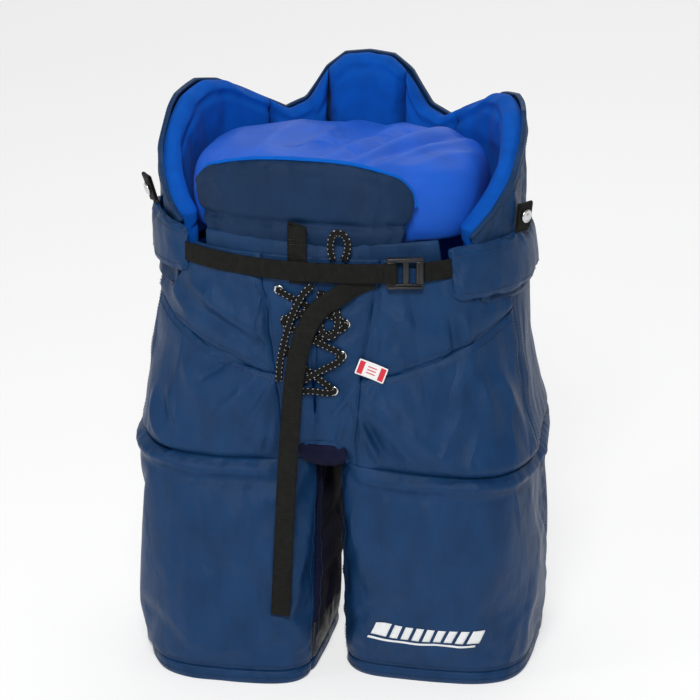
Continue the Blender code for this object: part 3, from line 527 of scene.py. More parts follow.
# ---------------------------------------------------------------- materials
class Finish:
    """A small helper that builds a Principled material node by node."""

    def __init__(self, name, colour, roughness, metallic=0.0):
        self.material = bpy.data.materials.new(name)
        self.material.use_nodes = True
        self.nodes = self.material.node_tree.nodes
        self.links = self.material.node_tree.links
        self.shader = self.nodes["Principled BSDF"]
        self.set("Base Color", (*colour, 1.0))
        self.set("Roughness", roughness)
        self.set("Metallic", metallic)
        self.colour = colour
        self.coordinates = self.nodes.new("ShaderNodeTexCoord")
        self.normal = None

    def set(self, socket, value):
        """Set a value on the shader's own socket."""
        self.shader.inputs[socket].default_value = value
        return self

    def scaled(self, space, scale, turn=0.0):
        """Coordinates of a space, scaled and turned."""
        mapping = self.nodes.new("ShaderNodeMapping")
        mapping.inputs["Scale"].default_value = scale
        mapping.inputs["Rotation"].default_value = (0.0, 0.0, turn)
        self.links.new(self.coordinates.outputs[space], mapping.inputs["Vector"])
        return mapping.outputs["Vector"]

    def math(self, operation, first, second=0.0, third=0.0):
        """One Math node."""
        node = self.nodes.new("ShaderNodeMath")
        node.operation = operation
        for socket, value in zip(node.inputs, (first, second, third)):
            if isinstance(value, (int, float)):
                socket.default_value = value
            else:
                self.links.new(value, socket)
        return node.outputs[0]

    def noise(self, space, scale, detail=3.0, stretch=(1.0, 1.0, 1.0)):
        """Noise in a space."""
        node = self.nodes.new("ShaderNodeTexNoise")
        node.inputs["Scale"].default_value = scale
        node.inputs["Detail"].default_value = detail
        self.links.new(self.scaled(space, stretch), node.inputs["Vector"])
        return node.outputs["Fac"]

    def creases(self, scale, stretch):
        """Thin soft ridges where a slow noise passes its middle value."""
        value = self.noise("Object", scale, 2.0, (1.0, 1.0, stretch))
        away = self.math("ABSOLUTE", self.math("SUBTRACT", value, 0.5))
        return self.math("SUBTRACT", 1.0, self.math("MINIMUM", self.math("MULTIPLY", away, 9.0), 1.0))

    def bump(self, height, distance, strength=1.0):
        """Add relief, on top of any that is already there."""
        node = self.nodes.new("ShaderNodeBump")
        node.inputs["Distance"].default_value = distance
        node.inputs["Strength"].default_value = strength
        self.links.new(height, node.inputs["Height"])
        if self.normal:
            self.links.new(self.normal, node.inputs["Normal"])
        self.normal = node.outputs["Normal"]
        self.links.new(self.normal, self.shader.inputs["Normal"])
        return self

    def vary_colour(self, factor, low, high):
        """Colour from darker to lighter as the factor goes from 0.3 to 0.7."""
        ramp = self.nodes.new("ShaderNodeValToRGB")
        ramp.color_ramp.elements[0].position = 0.3
        ramp.color_ramp.elements[1].position = 0.7
        ramp.color_ramp.elements[0].color = (*[channel * low for channel in self.colour], 1.0)
        ramp.color_ramp.elements[1].color = (*[min(channel * high, 1.0) for channel in self.colour], 1.0)
        self.links.new(factor, ramp.inputs["Fac"])
        self.links.new(ramp.outputs["Color"], self.shader.inputs["Base Color"])
        return self

    def vary_roughness(self, factor, low, high):
        """Roughness from low to high as the factor goes from 0.3 to 0.7."""
        node = self.nodes.new("ShaderNodeMapRange")
        for socket, value in (("From Min", 0.3), ("From Max", 0.7), ("To Min", low), ("To Max", high)):
            node.inputs[socket].default_value = value
        self.links.new(factor, node.inputs["Value"])
        self.links.new(node.outputs["Result"], self.shader.inputs["Roughness"])
        return self

    def near(self, value, middle, reach):
        """1 where a value is within reach of a middle, else 0."""
        return self.math("LESS_THAN", self.math("ABSOLUTE", self.math("SUBTRACT", value, middle)), reach)

    def split(self, vector):
        """The X, Y and Z of a vector."""
        parts = self.nodes.new("ShaderNodeSeparateXYZ")
        self.links.new(vector, parts.inputs[0])
        return parts.outputs

    def two_colours(self, factor, second):
        """The second colour where the factor is 1, else the finish's own colour."""
        mix = self.nodes.new("ShaderNodeMix")
        mix.data_type = "RGBA"
        mix.inputs["A"].default_value = (*self.colour, 1.0)
        mix.inputs["B"].default_value = (*second, 1.0)
        self.links.new(factor, mix.inputs["Factor"])
        self.links.new(mix.outputs["Result"], self.shader.inputs["Base Color"])

    def weave(self, space, pitch, distance, strength):
        """The over and under of a plain weave at a thread pitch."""
        parts = self.split(self.scaled(space, (math.tau / pitch,) * 3))
        waves = [self.math("SINE", parts[axis]) for axis in (("X", "Y") if space == "UV" else ("X", "Z"))]
        self.bump(self.math("MULTIPLY", *waves), distance, strength)
        return self


FINISHES = {}


def nylon(name, colour, roughness=(0.32, 0.44)):
    """Satin nylon pack cloth: a fine plain weave with a soft sheen and slightly uneven dye."""
    made = Finish(name, colour, roughness[0])
    made.set("Specular IOR Level", 0.16)
    made.vary_colour(made.noise("Object", 38.0, 6.0, (1.0, 1.0, 0.6)), 0.86, 1.15)
    made.vary_roughness(made.noise("Object", 520.0, 2.0), *roughness)
    made.bump(made.noise("Object", 26.0, 5.0, (1.0, 1.0, 0.55)), 0.0075, 0.60)
    made.bump(made.creases(15.0, 0.35), 0.0045, 0.55)
    made.weave("UV", 0.0011, 0.00012, 0.55)
    return made.material


def knit(name, colour):
    """Brushed knitted lining over foam."""
    made = Finish(name, colour, 0.82)
    made.set("Sheen Weight", 0.02).set("Sheen Roughness", 0.5).set("Specular IOR Level", 0.1)
    made.vary_colour(made.noise("Object", 60.0, 5.0), 0.90, 1.10)
    made.bump(made.noise("Object", 900.0, 2.0), 0.0003, 0.30)
    made.bump(made.noise("Object", 30.0, 3.0), 0.0010, 0.25)
    made.weave("Object", 0.0012, 0.00010, 0.4)
    return made.material


def mesh_knit(name, colour):
    """Dark open knit with rows of small holes."""
    made = Finish(name, colour, 0.85)
    made.set("Sheen Weight", 0.03).set("Specular IOR Level", 0.1)
    made.vary_colour(made.noise("Object", 120.0, 3.0), 0.75, 1.25)
    made.weave("Object", 0.0026, 0.0005, 0.7)
    made.bump(made.noise("Object", 400.0, 2.0), 0.0003, 0.3)
    return made.material


def webbing(name, colour, tracer=False):
    """Ribbed webbing. UV runs from 0 to 1 across and in metres along. A tracer adds two dotted rows."""
    made = Finish(name, colour, 0.62)
    made.set("Sheen Weight", 0.01).set("Specular IOR Level", 0.15)
    parts = made.split(made.scaled("UV", (1.0, 1.0, 1.0)))
    across, along = parts["X"], parts["Y"]
    pitch, threads_across = (0.0012, 9) if tracer else (RIB_PITCH, 16)
    ribs = made.math("SINE", made.math("MULTIPLY", along, math.tau / pitch))
    threads = made.math("SINE", made.math("MULTIPLY", across, math.tau * threads_across))
    made.bump(made.math("MULTIPLY_ADD", threads, 0.45, ribs), 0.00022, 0.6)
    made.bump(made.noise("Object", 700.0, 2.0), 0.0002, 0.4)
    if not tracer:
        made.vary_colour(made.noise("Object", 160.0, 4.0), 0.7, 1.5)
        return made.material
    length = made.near(made.math("FRACT", made.math("DIVIDE", along, 0.0048)), 0.5, 0.14)
    from_middle = made.math("ABSOLUTE", made.math("SUBTRACT", across, 0.5))
    dot = made.math("MULTIPLY", length, made.near(from_middle, 0.38, 0.048))
    made.two_colours(dot, (0.46, 0.46, 0.44))
    made.bump(dot, 0.0003, 0.6)
    return made.material


def stuffing_cloth():
    """Smooth woven cover of the stuffing."""
    made = Finish("stuffing_cloth", (0.014, 0.103, 0.56), 0.5)
    made.set("Sheen Weight", 0.01).set("Sheen Roughness", 0.4).set("Specular IOR Level", 0.12)
    made.vary_colour(made.noise("Object", 26.0, 4.0), 0.88, 1.12)
    made.bump(made.noise("Object", 26.0, 3.0), 0.0010, 0.25)
    made.weave("Object", 0.0012, 0.0001, 0.45)
    return made.material


# Plain finishes: name, colour, roughness, metallic, and then uneven colour, uneven roughness and relief. Each of
# these three is a noise's scale and detail, and how low and high it goes, or the relief's depth and strength.
PLAIN = {
    "patch": ("black_coated_cloth", (0.008, 0.008, 0.009), 0.45, 0.0,
              None, ((200.0, 3.0), (0.38, 0.58)), ((260.0, 3.0), (0.0004, 0.5))),
    "plastic": ("black_moulded_plastic", (0.0075, 0.0075, 0.0085), 0.34, 0.0,
                None, ((300.0, 3.0), (0.28, 0.46)), ((1400.0, 2.0), (0.0001, 0.3))),
    "foam": ("white_foam", (0.72, 0.71, 0.66), 0.9, 0.0,
             ((90.0, 4.0), (0.88, 1.08)), None, ((900.0, 3.0), (0.0005, 0.7))),
    "plate": ("white_polyethylene", (0.74, 0.74, 0.71), 0.38, 0.0,
              None, ((60.0, 4.0), (0.30, 0.52)), ((160.0, 3.0), (0.0003, 0.3))),
    "metal": ("nickel_plate", (0.66, 0.67, 0.68), 0.22, 1.0,
              None, ((500.0, 3.0), (0.16, 0.36)), ((700.0, 2.0), (0.0001, 0.25))),
    "thread": ("navy_thread", (0.010, 0.034, 0.092), 0.55, 0.0, ((900.0, 2.0), (0.8, 1.3)), None, None),
    "blue_thread": ("blue_thread", (0.002, 0.055, 0.33), 0.6, 0.0, ((900.0, 2.0), (0.8, 1.2)), None, None),
    "black_thread": ("black_thread", (0.012, 0.012, 0.012), 0.55, 0.0, ((900.0, 2.0), (0.7, 1.6)), None, None),
    "mark": ("white_printed_film", (0.84, 0.85, 0.86), 0.42, 0.0,
             ((300.0, 4.0), (0.94, 1.03)), None, ((1200.0, 2.0), (0.0001, 0.4))),
}


def make_finishes():
    """Every finish, by its name."""
    FINISHES["navy"] = nylon("navy_nylon_cloth", (0.0070, 0.0385, 0.114))
    # The belly flap is the same navy nylon, made darker here: painted shade.
    FINISHES["flap"] = nylon("navy_nylon_flap_painted_shade_cloth", (0.0052, 0.0250, 0.072), (0.46, 0.58))
    # The sides, back, seat, band and tongue take a greyer copy of the same navy nylon: painted shade.
    FINISHES["navy_painted_shade"] = nylon("navy_nylon_painted_shade_cloth", (0.0085, 0.0385, 0.108), (0.38, 0.50))
    FINISHES["lining"] = knit("blue_brushed_lining", (0.0008, 0.078, 0.41))
    FINISHES["piping"] = knit("blue_piping_cloth", (0.001, 0.11, 0.54))
    FINISHES["inner"] = mesh_knit("inner_leg_mesh_cloth", (0.006, 0.007, 0.030))
    FINISHES["insert"] = stuffing_cloth()
    FINISHES["webbing"] = webbing("black_ribbed_webbing", (0.0058, 0.0057, 0.0050))
    FINISHES["lace"] = webbing("black_lace_with_tracer", (0.0050, 0.0050, 0.0048), tracer=True)
    for look, (name, colour, roughness, metallic, shades, shine, relief) in PLAIN.items():
        made = Finish(name, colour, roughness, metallic)
        if shades:
            made.vary_colour(made.noise("Object", *shades[0]), *shades[1])
        if shine:
            made.vary_roughness(made.noise("Object", *shine[0]), *shine[1])
        if relief:
            made.bump(made.noise("Object", *relief[0]), *relief[1])
        FINISHES[look] = made.material
    FINISHES["label"] = label_finish()


def label_finish():
    """Woven white label with a plain red bar at each end and three short dashes between them."""
    made = Finish("woven_label", (0.80, 0.80, 0.79), 0.6)
    made.set("Sheen Weight", 0.2)
    parts = made.split(made.scaled("UV", (1.0, 1.0, 1.0)))
    across = made.math("ABSOLUTE", made.math("SUBTRACT", parts["X"], 0.5))
    up = made.math("ABSOLUTE", made.math("SUBTRACT", parts["Y"], 0.5))
    bars = made.math("MULTIPLY", made.math("GREATER_THAN", across, 0.27), made.math("LESS_THAN", across, 0.455))
    inside = made.math("LESS_THAN", up, 0.42)
    rows = made.math("MAXIMUM", made.near(up, 0.20, 0.035), made.math("LESS_THAN", up, 0.035))
    dashes = made.math("MULTIPLY", rows, made.math("LESS_THAN", across, 0.15))
    red = made.math("MAXIMUM", made.math("MULTIPLY", bars, inside), dashes)
    made.two_colours(red, (0.62, 0.012, 0.035))
    made.bump(made.noise("Object", 1500.0, 2.0), 0.0002, 0.5)
    return made.material


# ---------------------------------------------------------------- straps and laces
RIB_PITCH, SWAY_PITCH = 0.0021, 0.0034


def strap(name, path, normals, width, thick, finish, rib=0.0, sway=0.0):
    """A flat strap with rounded edges and low cross ribs. Normals point away from the body."""
    path = np.asarray(path, float)
    ahead = unit(np.gradient(path, axis=0))
    across = unit(np.cross(ahead, np.asarray(normals, float)))
    out = np.cross(across, ahead)
    travelled = np.concatenate([[0.0], np.cumsum(np.linalg.norm(np.diff(path, axis=0), axis=1))])
    section = []
    for side in (1.0, -1.0):
        section += [(place * 0.94, side) for place in np.linspace(-side, side, 7)]
        section.append((side, 0.0))
    ripple = rib * np.sin(2 * math.pi * travelled / RIB_PITCH)
    edge = sway * np.sin(2 * math.pi * travelled / SWAY_PITCH)
    rings = []
    uvs = []
    for place, side in section:
        reach = (width / 2 + edge[:, None] * abs(place)) * place
        rings.append(path + across * reach + out * (side * (thick / 2 + ripple[:, None])))
        uvs.append(np.stack([np.full(len(path), (place + 1) / 2), travelled], -1))
    points = np.stack(rings, 1)
    rows, columns = points.shape[:2]
    faces = grid_faces(rows, columns, wrap=True).tolist()
    faces.append(list(range(columns))[::-1])
    faces.append([rows * columns - columns + k for k in range(columns)])
    piece = make_piece(name, points, faces, finish, np.stack(uvs, 1))
    tidy_normals(piece)
    return piece


def tidy_normals(piece):
    """Turn every face outwards."""
    work = bmesh.new()
    work.from_mesh(piece.data)
    bmesh.ops.recalc_face_normals(work, faces=work.faces)
    work.to_mesh(piece.data)
    work.free()


def facing(path):
    """Normals towards the front for a free strap, square to its path."""
    ahead = unit(np.gradient(np.asarray(path, float), axis=0))
    front = np.tile([0.0, -1.0, 0.0], (len(path), 1))
    front -= ahead * np.sum(front * ahead, axis=1, keepdims=True)
    return unit(front)


def measured(path):
    """Length along points."""
    return float(np.linalg.norm(np.diff(path, axis=0), axis=1).sum())


# Each cord: route, width, thickness, finish, body, far end, stiffness, lie, ribs and wavy edges.
CORDS = {
    "belt_tail": (BELT_TAIL, WEB_WIDTH, WEB_THICK, "webbing", "belt_tail", "bare", "medium", "hanging", WEB_RIB, 0.0),
    "bow_loop_upper": (UPPER_LOOP, LACE_WIDTH, LACE_THICK, "lace", "bow_loop", "object", "limp", "loose",
                       0.0, LACE_SWAY),
    "bow_loop_lower": (LOWER_LOOP, LACE_WIDTH, LACE_THICK, "lace", "lace_ends", "object", "limp", "hanging",
                       0.0, LACE_SWAY),
    "lace_end": (LACE_END, LACE_WIDTH, LACE_THICK, "lace", "lace_ends", "object", "limp", "hanging", 0.0, LACE_SWAY),
}


def add_cords():
    """The belt's free end and the three free runs of lace, each built as a strap."""
    for name, (route, width, thick, look, body, far_end, stiffness, lay, rib, sway) in CORDS.items():
        path = smooth_path(route, 0.0007)
        piece = strap(name + "_look", path, facing(path), width, thick, FINISHES[look], rib, sway)
        finish_piece(piece, body, "black_webbing", name)


# ---------------------------------------------------------------- legs
def breaks(stops, counts):
    """Values that pass through each stop, with so many steps between each pair."""
    values = []
    for start, end, count in zip(stops, stops[1:], counts):
        values += list(np.linspace(start, end, count, endpoint=False))
    return np.array(values + [stops[-1]])


# Flat width and length of the unpadded cloth on the inside of a leg.
LEG_COUNTS = (84, 64, 40)
LEG_ROWS, HEM_ROWS, STILL_ROWS = 52, 5, 7
# How far the outside of each thigh is drawn in.
LEG_SLIM = {"right": 0.0075, "left": 0.0}
# The padded roll under the thigh seam, and the groove below it: distance below the seam, width, size.
THIGH_ROLL = ((0.011, 0.0070, 0.0058), (0.0235, 0.0035, -0.0022))
# How deep the seams are: at the thigh, along the leg and at the inner back, over the hem band and at its edge.
THIGH_GROOVE, LEG_GROOVE, INNER_GROOVE, HEM_GROOVE, HEM_EDGE = 0.0050, 0.0022, 0.0012, 0.0016, 0.0020
LEG_PUFF, LEG_PUCKER, CLOTH_RUFFLE = 0.0035, 0.0010, 0.0012
# Soft folds of each thigh: distance round the leg from its front, height, to the same, width, size.
LEG_FOLDS = {
    "right": (
        (0.160, 0.235, 0.120, 0.150, 0.012, 0.0030), (0.165, 0.180, 0.130, 0.080, 0.010, 0.0026),
        (-0.070, 0.225, -0.040, 0.120, 0.011, 0.0030), (-0.085, 0.190, -0.062, 0.070, 0.007, 0.0026),
        (-0.030, 0.215, 0.010, 0.130, 0.016, 0.0020), (0.060, 0.210, 0.080, 0.060, 0.022, 0.0022),
        (0.100, 0.060, 0.170, 0.030, 0.010, 0.0018), (-0.060, 0.060, 0.000, 0.030, 0.012, 0.0014),
    ),
    "left": (
        (0.150, 0.235, 0.190, 0.170, 0.008, 0.0034), (0.145, 0.200, 0.190, 0.130, 0.007, 0.0030),
        (0.150, 0.160, 0.195, 0.085, 0.008, 0.0030), (0.160, 0.110, 0.190, 0.045, 0.008, 0.0026),
        (-0.070, 0.220, -0.050, 0.100, 0.012, 0.0026), (-0.020, 0.210, 0.005, 0.090, 0.022, 0.0022),
        (0.070, 0.205, 0.060, 0.080, 0.020, 0.0020), (0.110, 0.060, 0.170, 0.030, 0.010, 0.0018),
    ),
}


def puckers(along, first, second, shift):
    """Uneven gathers along a seam, from two waves."""
    return np.sin(along * first) * 0.5 + np.sin(along * second + shift) * 0.5


def leg_relief(side, angle, height, top):
    """How far the quilted leg stands off its plain outline."""
    below = top - height
    padded = 1.0 / (1.0 + np.exp(-(70.0 - np.abs(wrapped(angle - 25.0))) / 6.0))
    ridge = sum(size * bell(below, place, width) for place, width, size in THIGH_ROLL)
    middle = LEG_PUFF * arch((height - 0.02) / (top - 0.045), 0.7)
    # The seam dies out at the inner front corner, where the cloth runs on from the fly.
    sewn = 1.0 - np.exp(-((wrapped(angle) + 44.0) / 24.0) ** 4)
    total = padded * (sewn * ridge + middle)
    total -= THIGH_GROOVE * sewn * bell(below, 0.0, 0.0035)
    total -= LEG_SLIM[side] * bell(height, 0.125, 0.070) * bell(wrapped(angle - 85.0), 0.0, 50.0)
    pucker = puckers(np.radians(angle) * LEG_ROUND, 520.0, 890.0, 1.0)
    total += LEG_PUCKER * padded * sewn * pucker * bell(below, 0.014, 0.011)
    for seam in LEG_SEAMS:
        distance = np.radians(wrapped(angle - seam)) * 0.125
        total -= (INNER_GROOVE if seam == LEG_SEAMS[-1] else LEG_GROOVE) * bell(distance, 0.0, 0.0030)
    total -= HEM_GROOVE * bell(height, HEM_HEIGHT, 0.0018) + HEM_EDGE * bell(height, 0.0, 0.0020)
    along = np.radians(wrapped(angle)) * LEG_ROUND
    return total + ramp(height, 0.016, 0.02) * folds(along, height, LEG_FOLDS[side])


def build_leg(side):
    """One leg's cloth, settled as one tube and then cut into its panels."""
    flip = side == "right"
    angles = breaks((*LEG_SEAMS, 360 + LEG_SEAMS[0]), LEG_COUNTS)[:-1]
    levels = np.concatenate([np.linspace(0.0, HEM_HEIGHT, HEM_ROWS, endpoint=False),
                             np.linspace(HEM_HEIGHT, 1.0, LEG_ROWS)])
    top = np.interp(wrapped(angles - 133) + 133, THIGH_SEAM[side][:, 0], THIGH_SEAM[side][:, 1])
    angle = np.tile(angles, (len(levels), 1))
    share = np.clip((levels - HEM_HEIGHT) / (1.0 - HEM_HEIGHT), 0.0, 1.0)[:, None]
    height = np.where(levels[:, None] <= HEM_HEIGHT, levels[:, None], HEM_HEIGHT + share * (top - HEM_HEIGHT))
    points = leg_xyz(side, angle, height, leg_relief(side, angle, height, top[None, :]))
    points += ruffle(points, 0.030, CLOTH_RUFFLE, 1)[..., None] * np.array([0.6, 0.8, 0.0])
    rows, columns = angle.shape
    uvs = np.stack([np.radians(angle) * LEG_CLOTH, height], -1)
    whole = make_piece("leg_cloth", points, grid_faces(rows, columns, wrap=True, flip=flip), FINISHES["navy"], uvs)
    index = np.arange(rows * columns).reshape(rows, columns)
    cuts = np.cumsum((0, *LEG_COUNTS))[:3]
    pins = set(index[:STILL_ROWS].ravel()) | set(index[-1].ravel()) | set(index[:, cuts].ravel())
    settled = settle(whole, pins, frames=16, pressure=0.25, growth=0.022, cap=0.006, bending=0.5)
    bpy.data.objects.remove(whole, do_unlink=True)
    settled = settled.reshape(rows, columns, 3)
    settled[STILL_ROWS:-1, 1:] = smooth_ring(settled)[STILL_ROWS:-1, 1:]
    settled = over_leg_guard(side, settled)
    cut_leg(side, settled, uvs, cuts, flip)
    return settled, angle


# How far the cloth may sink below the plain outline in front of a guard.
GUARD_SINK = {"leg": 0.0014, "body": 0.0004}


def hold_out(points, centre, least, weight):
    """Move points away from a centre line, as far as the least radius asks, by their weight."""
    away = points[..., :2] - centre
    radius = np.linalg.norm(away, axis=-1)
    missing = np.maximum(least - radius, 0.0) * weight
    points[..., :2] += away / radius[..., None] * missing[..., None]
    return points


def over_leg_guard(side, points):
    """Keep a leg's cloth outside the guard that it covers."""
    height = points[..., 2]
    middle = np.array([LEG_SHIFT + SIDES[side] * LEG_CENTRE, 0.0])
    centre = middle + np.stack([0 * height, STRIDE[side] * (1.0 - height / LEG_TOP)], -1)
    turn = np.arctan2(SIDES[side] * (points[..., 0] - centre[..., 0]), -(points[..., 1] - centre[..., 1]))
    half_width = np.interp(height, LEG[:, 0], LEG[:, 1])
    half_depth = np.interp(height, LEG[:, 0], LEG[:, 2])
    least = outline(turn, half_width, half_depth, LEG_POWER) - GUARD_SINK["leg"]
    angle = np.degrees(turn)
    weight = ramp(angle, -46.0, 8.0) * ramp(angle, 102.0, -8.0)
    weight *= ramp(height, HEM_HEIGHT, 0.006) * ramp(height, 0.243, -0.004)
    return hold_out(points, centre, least, weight)


def over_hip_guard(points):
    """Keep the hips' cloth outside the guards that it covers."""
    height = points[..., 2]
    angle = angle_of(points)
    least = np.linalg.norm(body_xyz(angle, height, -GUARD_SINK["body"])[..., :2], axis=-1)
    weight = ramp(np.abs(angle), 50.0, 8.0) * ramp(height, 0.246, 0.006)
    return hold_out(points, np.zeros(2), least, weight)


def smooth_ring(points):
    """Average each point of a ring-shaped grid with its neighbours."""
    beside = (np.roll(points, 1, 1) + np.roll(points, -1, 1)) / 2
    over = points.copy()
    over[1:-1] = (points[2:] + points[:-2]) / 2
    return points * 0.5 + (beside + over) * 0.25


def sub_grid(name, points, uvs, finish, flip, keep=None):
    """A piece from part of a grid. Keep marks the faces that stay."""
    rows, columns = points.shape[:2]
    faces = grid_faces(rows, columns, flip=flip)
    if keep is not None:
        faces = faces[keep.ravel()]
    used = np.unique(faces)
    place = np.full(rows * columns, -1)
    place[used] = np.arange(len(used))
    return make_piece(name, points.reshape(-1, 3)[used], place[faces], finish, uvs.reshape(-1, 2)[used])


# The three panels of a leg, from its inner front seam round: name, finish and slot.
# The rear panel's finish is the greyer copy of the navy nylon, which paints shade.
LEG_PANELS = (("thigh_front_panel", "navy", "navy_nylon"), ("thigh_rear_panel", "navy_painted_shade", "navy_side_nylon"),
              ("inner_leg_panel", "inner", "inner_leg_cloth"))


def cut_leg(side, points, uvs, cuts, flip):
    """Cut the settled leg into the panels that it is sewn from."""
    ring = np.concatenate([points, points[:, :1]], 1)
    ring_uvs = np.concatenate([uvs, uvs[:, :1] + np.array([math.tau * LEG_CLOTH, 0.0])], 1)
    ends = [*cuts, points.shape[1]]
    low = slice(0, HEM_ROWS + 1)
    hem = sub_grid(f"hem_band_{side}_look", ring[low], ring_uvs[low], FINISHES["navy"], flip)
    thicken(hem, HEM_THICK)
    finish_piece(hem, "pants", "navy_nylon", f"hem_band_{side}")
    for number, (name, look, slot) in enumerate(LEG_PANELS):
        part = slice(ends[number], ends[number + 1] + 1)
        grid, grid_uvs = ring[HEM_ROWS:, part], ring_uvs[HEM_ROWS:, part]
        keep = None
        if name == "inner_leg_panel":
            share = np.linspace(0.0, 1.0, grid.shape[1] - 1)[None, :]
            patch = (grid[:-1, :-1, 2] + grid[1:, :-1, 2]) / 2 < PATCH_TOP - 0.006 + 0.010 * share
            keep = ~patch
            patch_piece = sub_grid(f"inner_hem_patch_{side}_look", grid, grid_uvs, FINISHES["patch"], flip, patch)
            thicken(patch_piece, PATCH_THICK)
            finish_piece(patch_piece, "pants", "black_patch", f"inner_hem_patch_{side}")
        piece = sub_grid(f"{name}_{side}_look", grid, grid_uvs, FINISHES[look], flip, keep)
        thicken(piece, CLOTH_THICK)
        finish_piece(piece, "pants", slot, f"{name}_{side}")
    leg_stitches(side, points, cuts)


def outward_of(points, flip):
    """Outward unit vectors of a grid."""
    along = np.gradient(points, axis=1)
    up = np.gradient(points, axis=0)
    out = np.cross(along, up)
    out /= np.maximum(np.linalg.norm(out, axis=-1, keepdims=True), 1e-12)
    return -out if flip else out


def leg_stitches(side, points, cuts):
    """Sewn rows above the hem and beside the seams."""
    out = outward_of(points, side == "right")
    round_leg = [*range(points.shape[1]), 0]
    runs = [lifted(points, out, (row, round_leg), 0.0003) for row in (2, 6)]
    runs += [lifted(points, out, (slice(6, -2), cut + shift)) for cut in cuts[:2] for shift in (-2, 2)]
    piece = stitches(f"leg_stitching_{side}", runs, FINISHES["thread"])
    finish_piece(piece, "pants", "navy_nylon")


# ---------------------------------------------------------------- hips, seat and fly
BODY_COUNTS = (30, 62, 44, 66, 44, 62, 30)
LOW_ROWS, HIGH_ROWS = 34, 26
MEET_ROWS = 12
# Soft folds of the hips and fly: distance round from the front, height, to the same, width, size.
BODY_FOLDS = (
    # the wearer's right yoke, then upper thigh and fly foot
    (-0.150, 0.414, -0.062, 0.374, 0.0090, 0.0052), (-0.140, 0.389, -0.082, 0.368, 0.0050, -0.0034),
    (-0.086, 0.361, -0.060, 0.366, 0.0035, -0.0026), (-0.110, 0.440, -0.060, 0.418, 0.0080, 0.0030),
    (-0.070, 0.400, -0.058, 0.350, 0.0045, 0.0030), (-0.180, 0.410, -0.150, 0.380, 0.0080, 0.0030),
    (-0.134, 0.319, -0.104, 0.346, 0.0060, -0.0040), (-0.159, 0.300, -0.142, 0.268, 0.0042, 0.0034),
    (-0.179, 0.292, -0.156, 0.250, 0.0048, 0.0036), (-0.150, 0.340, -0.128, 0.300, 0.0080, 0.0028),
    (-0.052, 0.326, -0.084, 0.266, 0.0055, 0.0044), (-0.058, 0.300, -0.072, 0.248, 0.0045, 0.0036),
    (-0.066, 0.335, -0.110, 0.285, 0.0065, 0.0034), (-0.050, 0.290, -0.056, 0.250, 0.0040, 0.0030),
    (-0.100, 0.290, -0.125, 0.250, 0.0055, 0.0026),
    # the wearer's left yoke, then upper thigh and fly foot
    (0.144, 0.397, 0.150, 0.356, 0.0045, -0.0034), (0.155, 0.395, 0.160, 0.362, 0.0060, 0.0026),
    (0.080, 0.400, 0.130, 0.376, 0.0090, 0.0030), (0.070, 0.375, 0.100, 0.352, 0.0070, 0.0026),
    (0.042, 0.312, 0.070, 0.244, 0.0055, 0.0044), (0.046, 0.316, 0.108, 0.245, 0.0065, 0.0040),
    (0.052, 0.324, 0.140, 0.240, 0.0080, 0.0036), (0.056, 0.290, 0.086, 0.246, 0.0042, -0.0026),
    (0.160, 0.345, 0.172, 0.285, 0.0080, 0.0030), (0.185, 0.335, 0.200, 0.270, 0.0070, 0.0030),
    # the fly's facings, from their seams towards the lacing
    (-0.054, 0.440, -0.020, 0.428, 0.0040, 0.0022), (-0.050, 0.412, -0.018, 0.396, 0.0040, 0.0024),
    (-0.048, 0.384, -0.016, 0.372, 0.0038, 0.0024), (-0.044, 0.352, -0.014, 0.340, 0.0036, 0.0022),
    (-0.044, 0.330, -0.016, 0.300, 0.0042, 0.0030), (-0.036, 0.300, -0.020, 0.262, 0.0040, 0.0026),
    (0.060, 0.435, 0.026, 0.426, 0.0040, 0.0022), (0.054, 0.405, 0.022, 0.392, 0.0040, 0.0024),
    (0.050, 0.376, 0.018, 0.362, 0.0038, 0.0024), (0.044, 0.345, 0.014, 0.330, 0.0036, 0.0022),
    (0.042, 0.325, 0.016, 0.292, 0.0042, 0.0030), (0.034, 0.296, 0.020, 0.258, 0.0040, 0.0026),
    # the sides and the seat
    (0.205, 0.385, 0.232, 0.300, 0.0120, 0.0022), (-0.205, 0.385, -0.235, 0.300, 0.0120, 0.0022),
    (0.350, 0.380, 0.330, 0.290, 0.014, 0.0028), (-0.350, 0.380, -0.330, 0.290, 0.014, 0.0028),
    (0.430, 0.370, 0.480, 0.280, 0.014, 0.0028), (-0.430, 0.370, -0.480, 0.280, 0.014, 0.0028),
)


# The fly's slit: angles of its two edges above and below a height, and how far it gapes behind the lacing.
SLIT_UPPER, SLIT_LOWER, SLIT_STEP, FLY_GAPE = (-1.2, 357.8), (-1.7, 358.3), 0.300, 0.9


def body_columns(level):
    """Angles of every column of the body's grid at a height, from the fly's slit all the way round."""
    opening = FLY_GAPE * bell(level, 0.365, 0.025)
    left_slit, right_slit = SLIT_UPPER if level > SLIT_STEP else SLIT_LOWER
    left_slit, right_slit = left_slit + opening * 0.4, right_slit - opening
    seam = fly_seam(level)
    stops = (left_slit, seam, SIDE_SEAM, BACK_SEAM, 360 - BACK_SEAM, 360 - SIDE_SEAM, 360 - seam, right_slit)
    return breaks([float(stop) for stop in stops], BODY_COUNTS)


def front_top(angle):
    """Upper edge of the front shell, which drops under the belt covers."""
    turn = wrapped(angle)
    dip = 0.009 * ramp(turn, 30.0, 8.0)
    return np.interp(np.abs(turn), (54, 62), (FRONT_TOP, BAND_BOTTOM + 0.004)) - dip * (np.abs(turn) < 58)


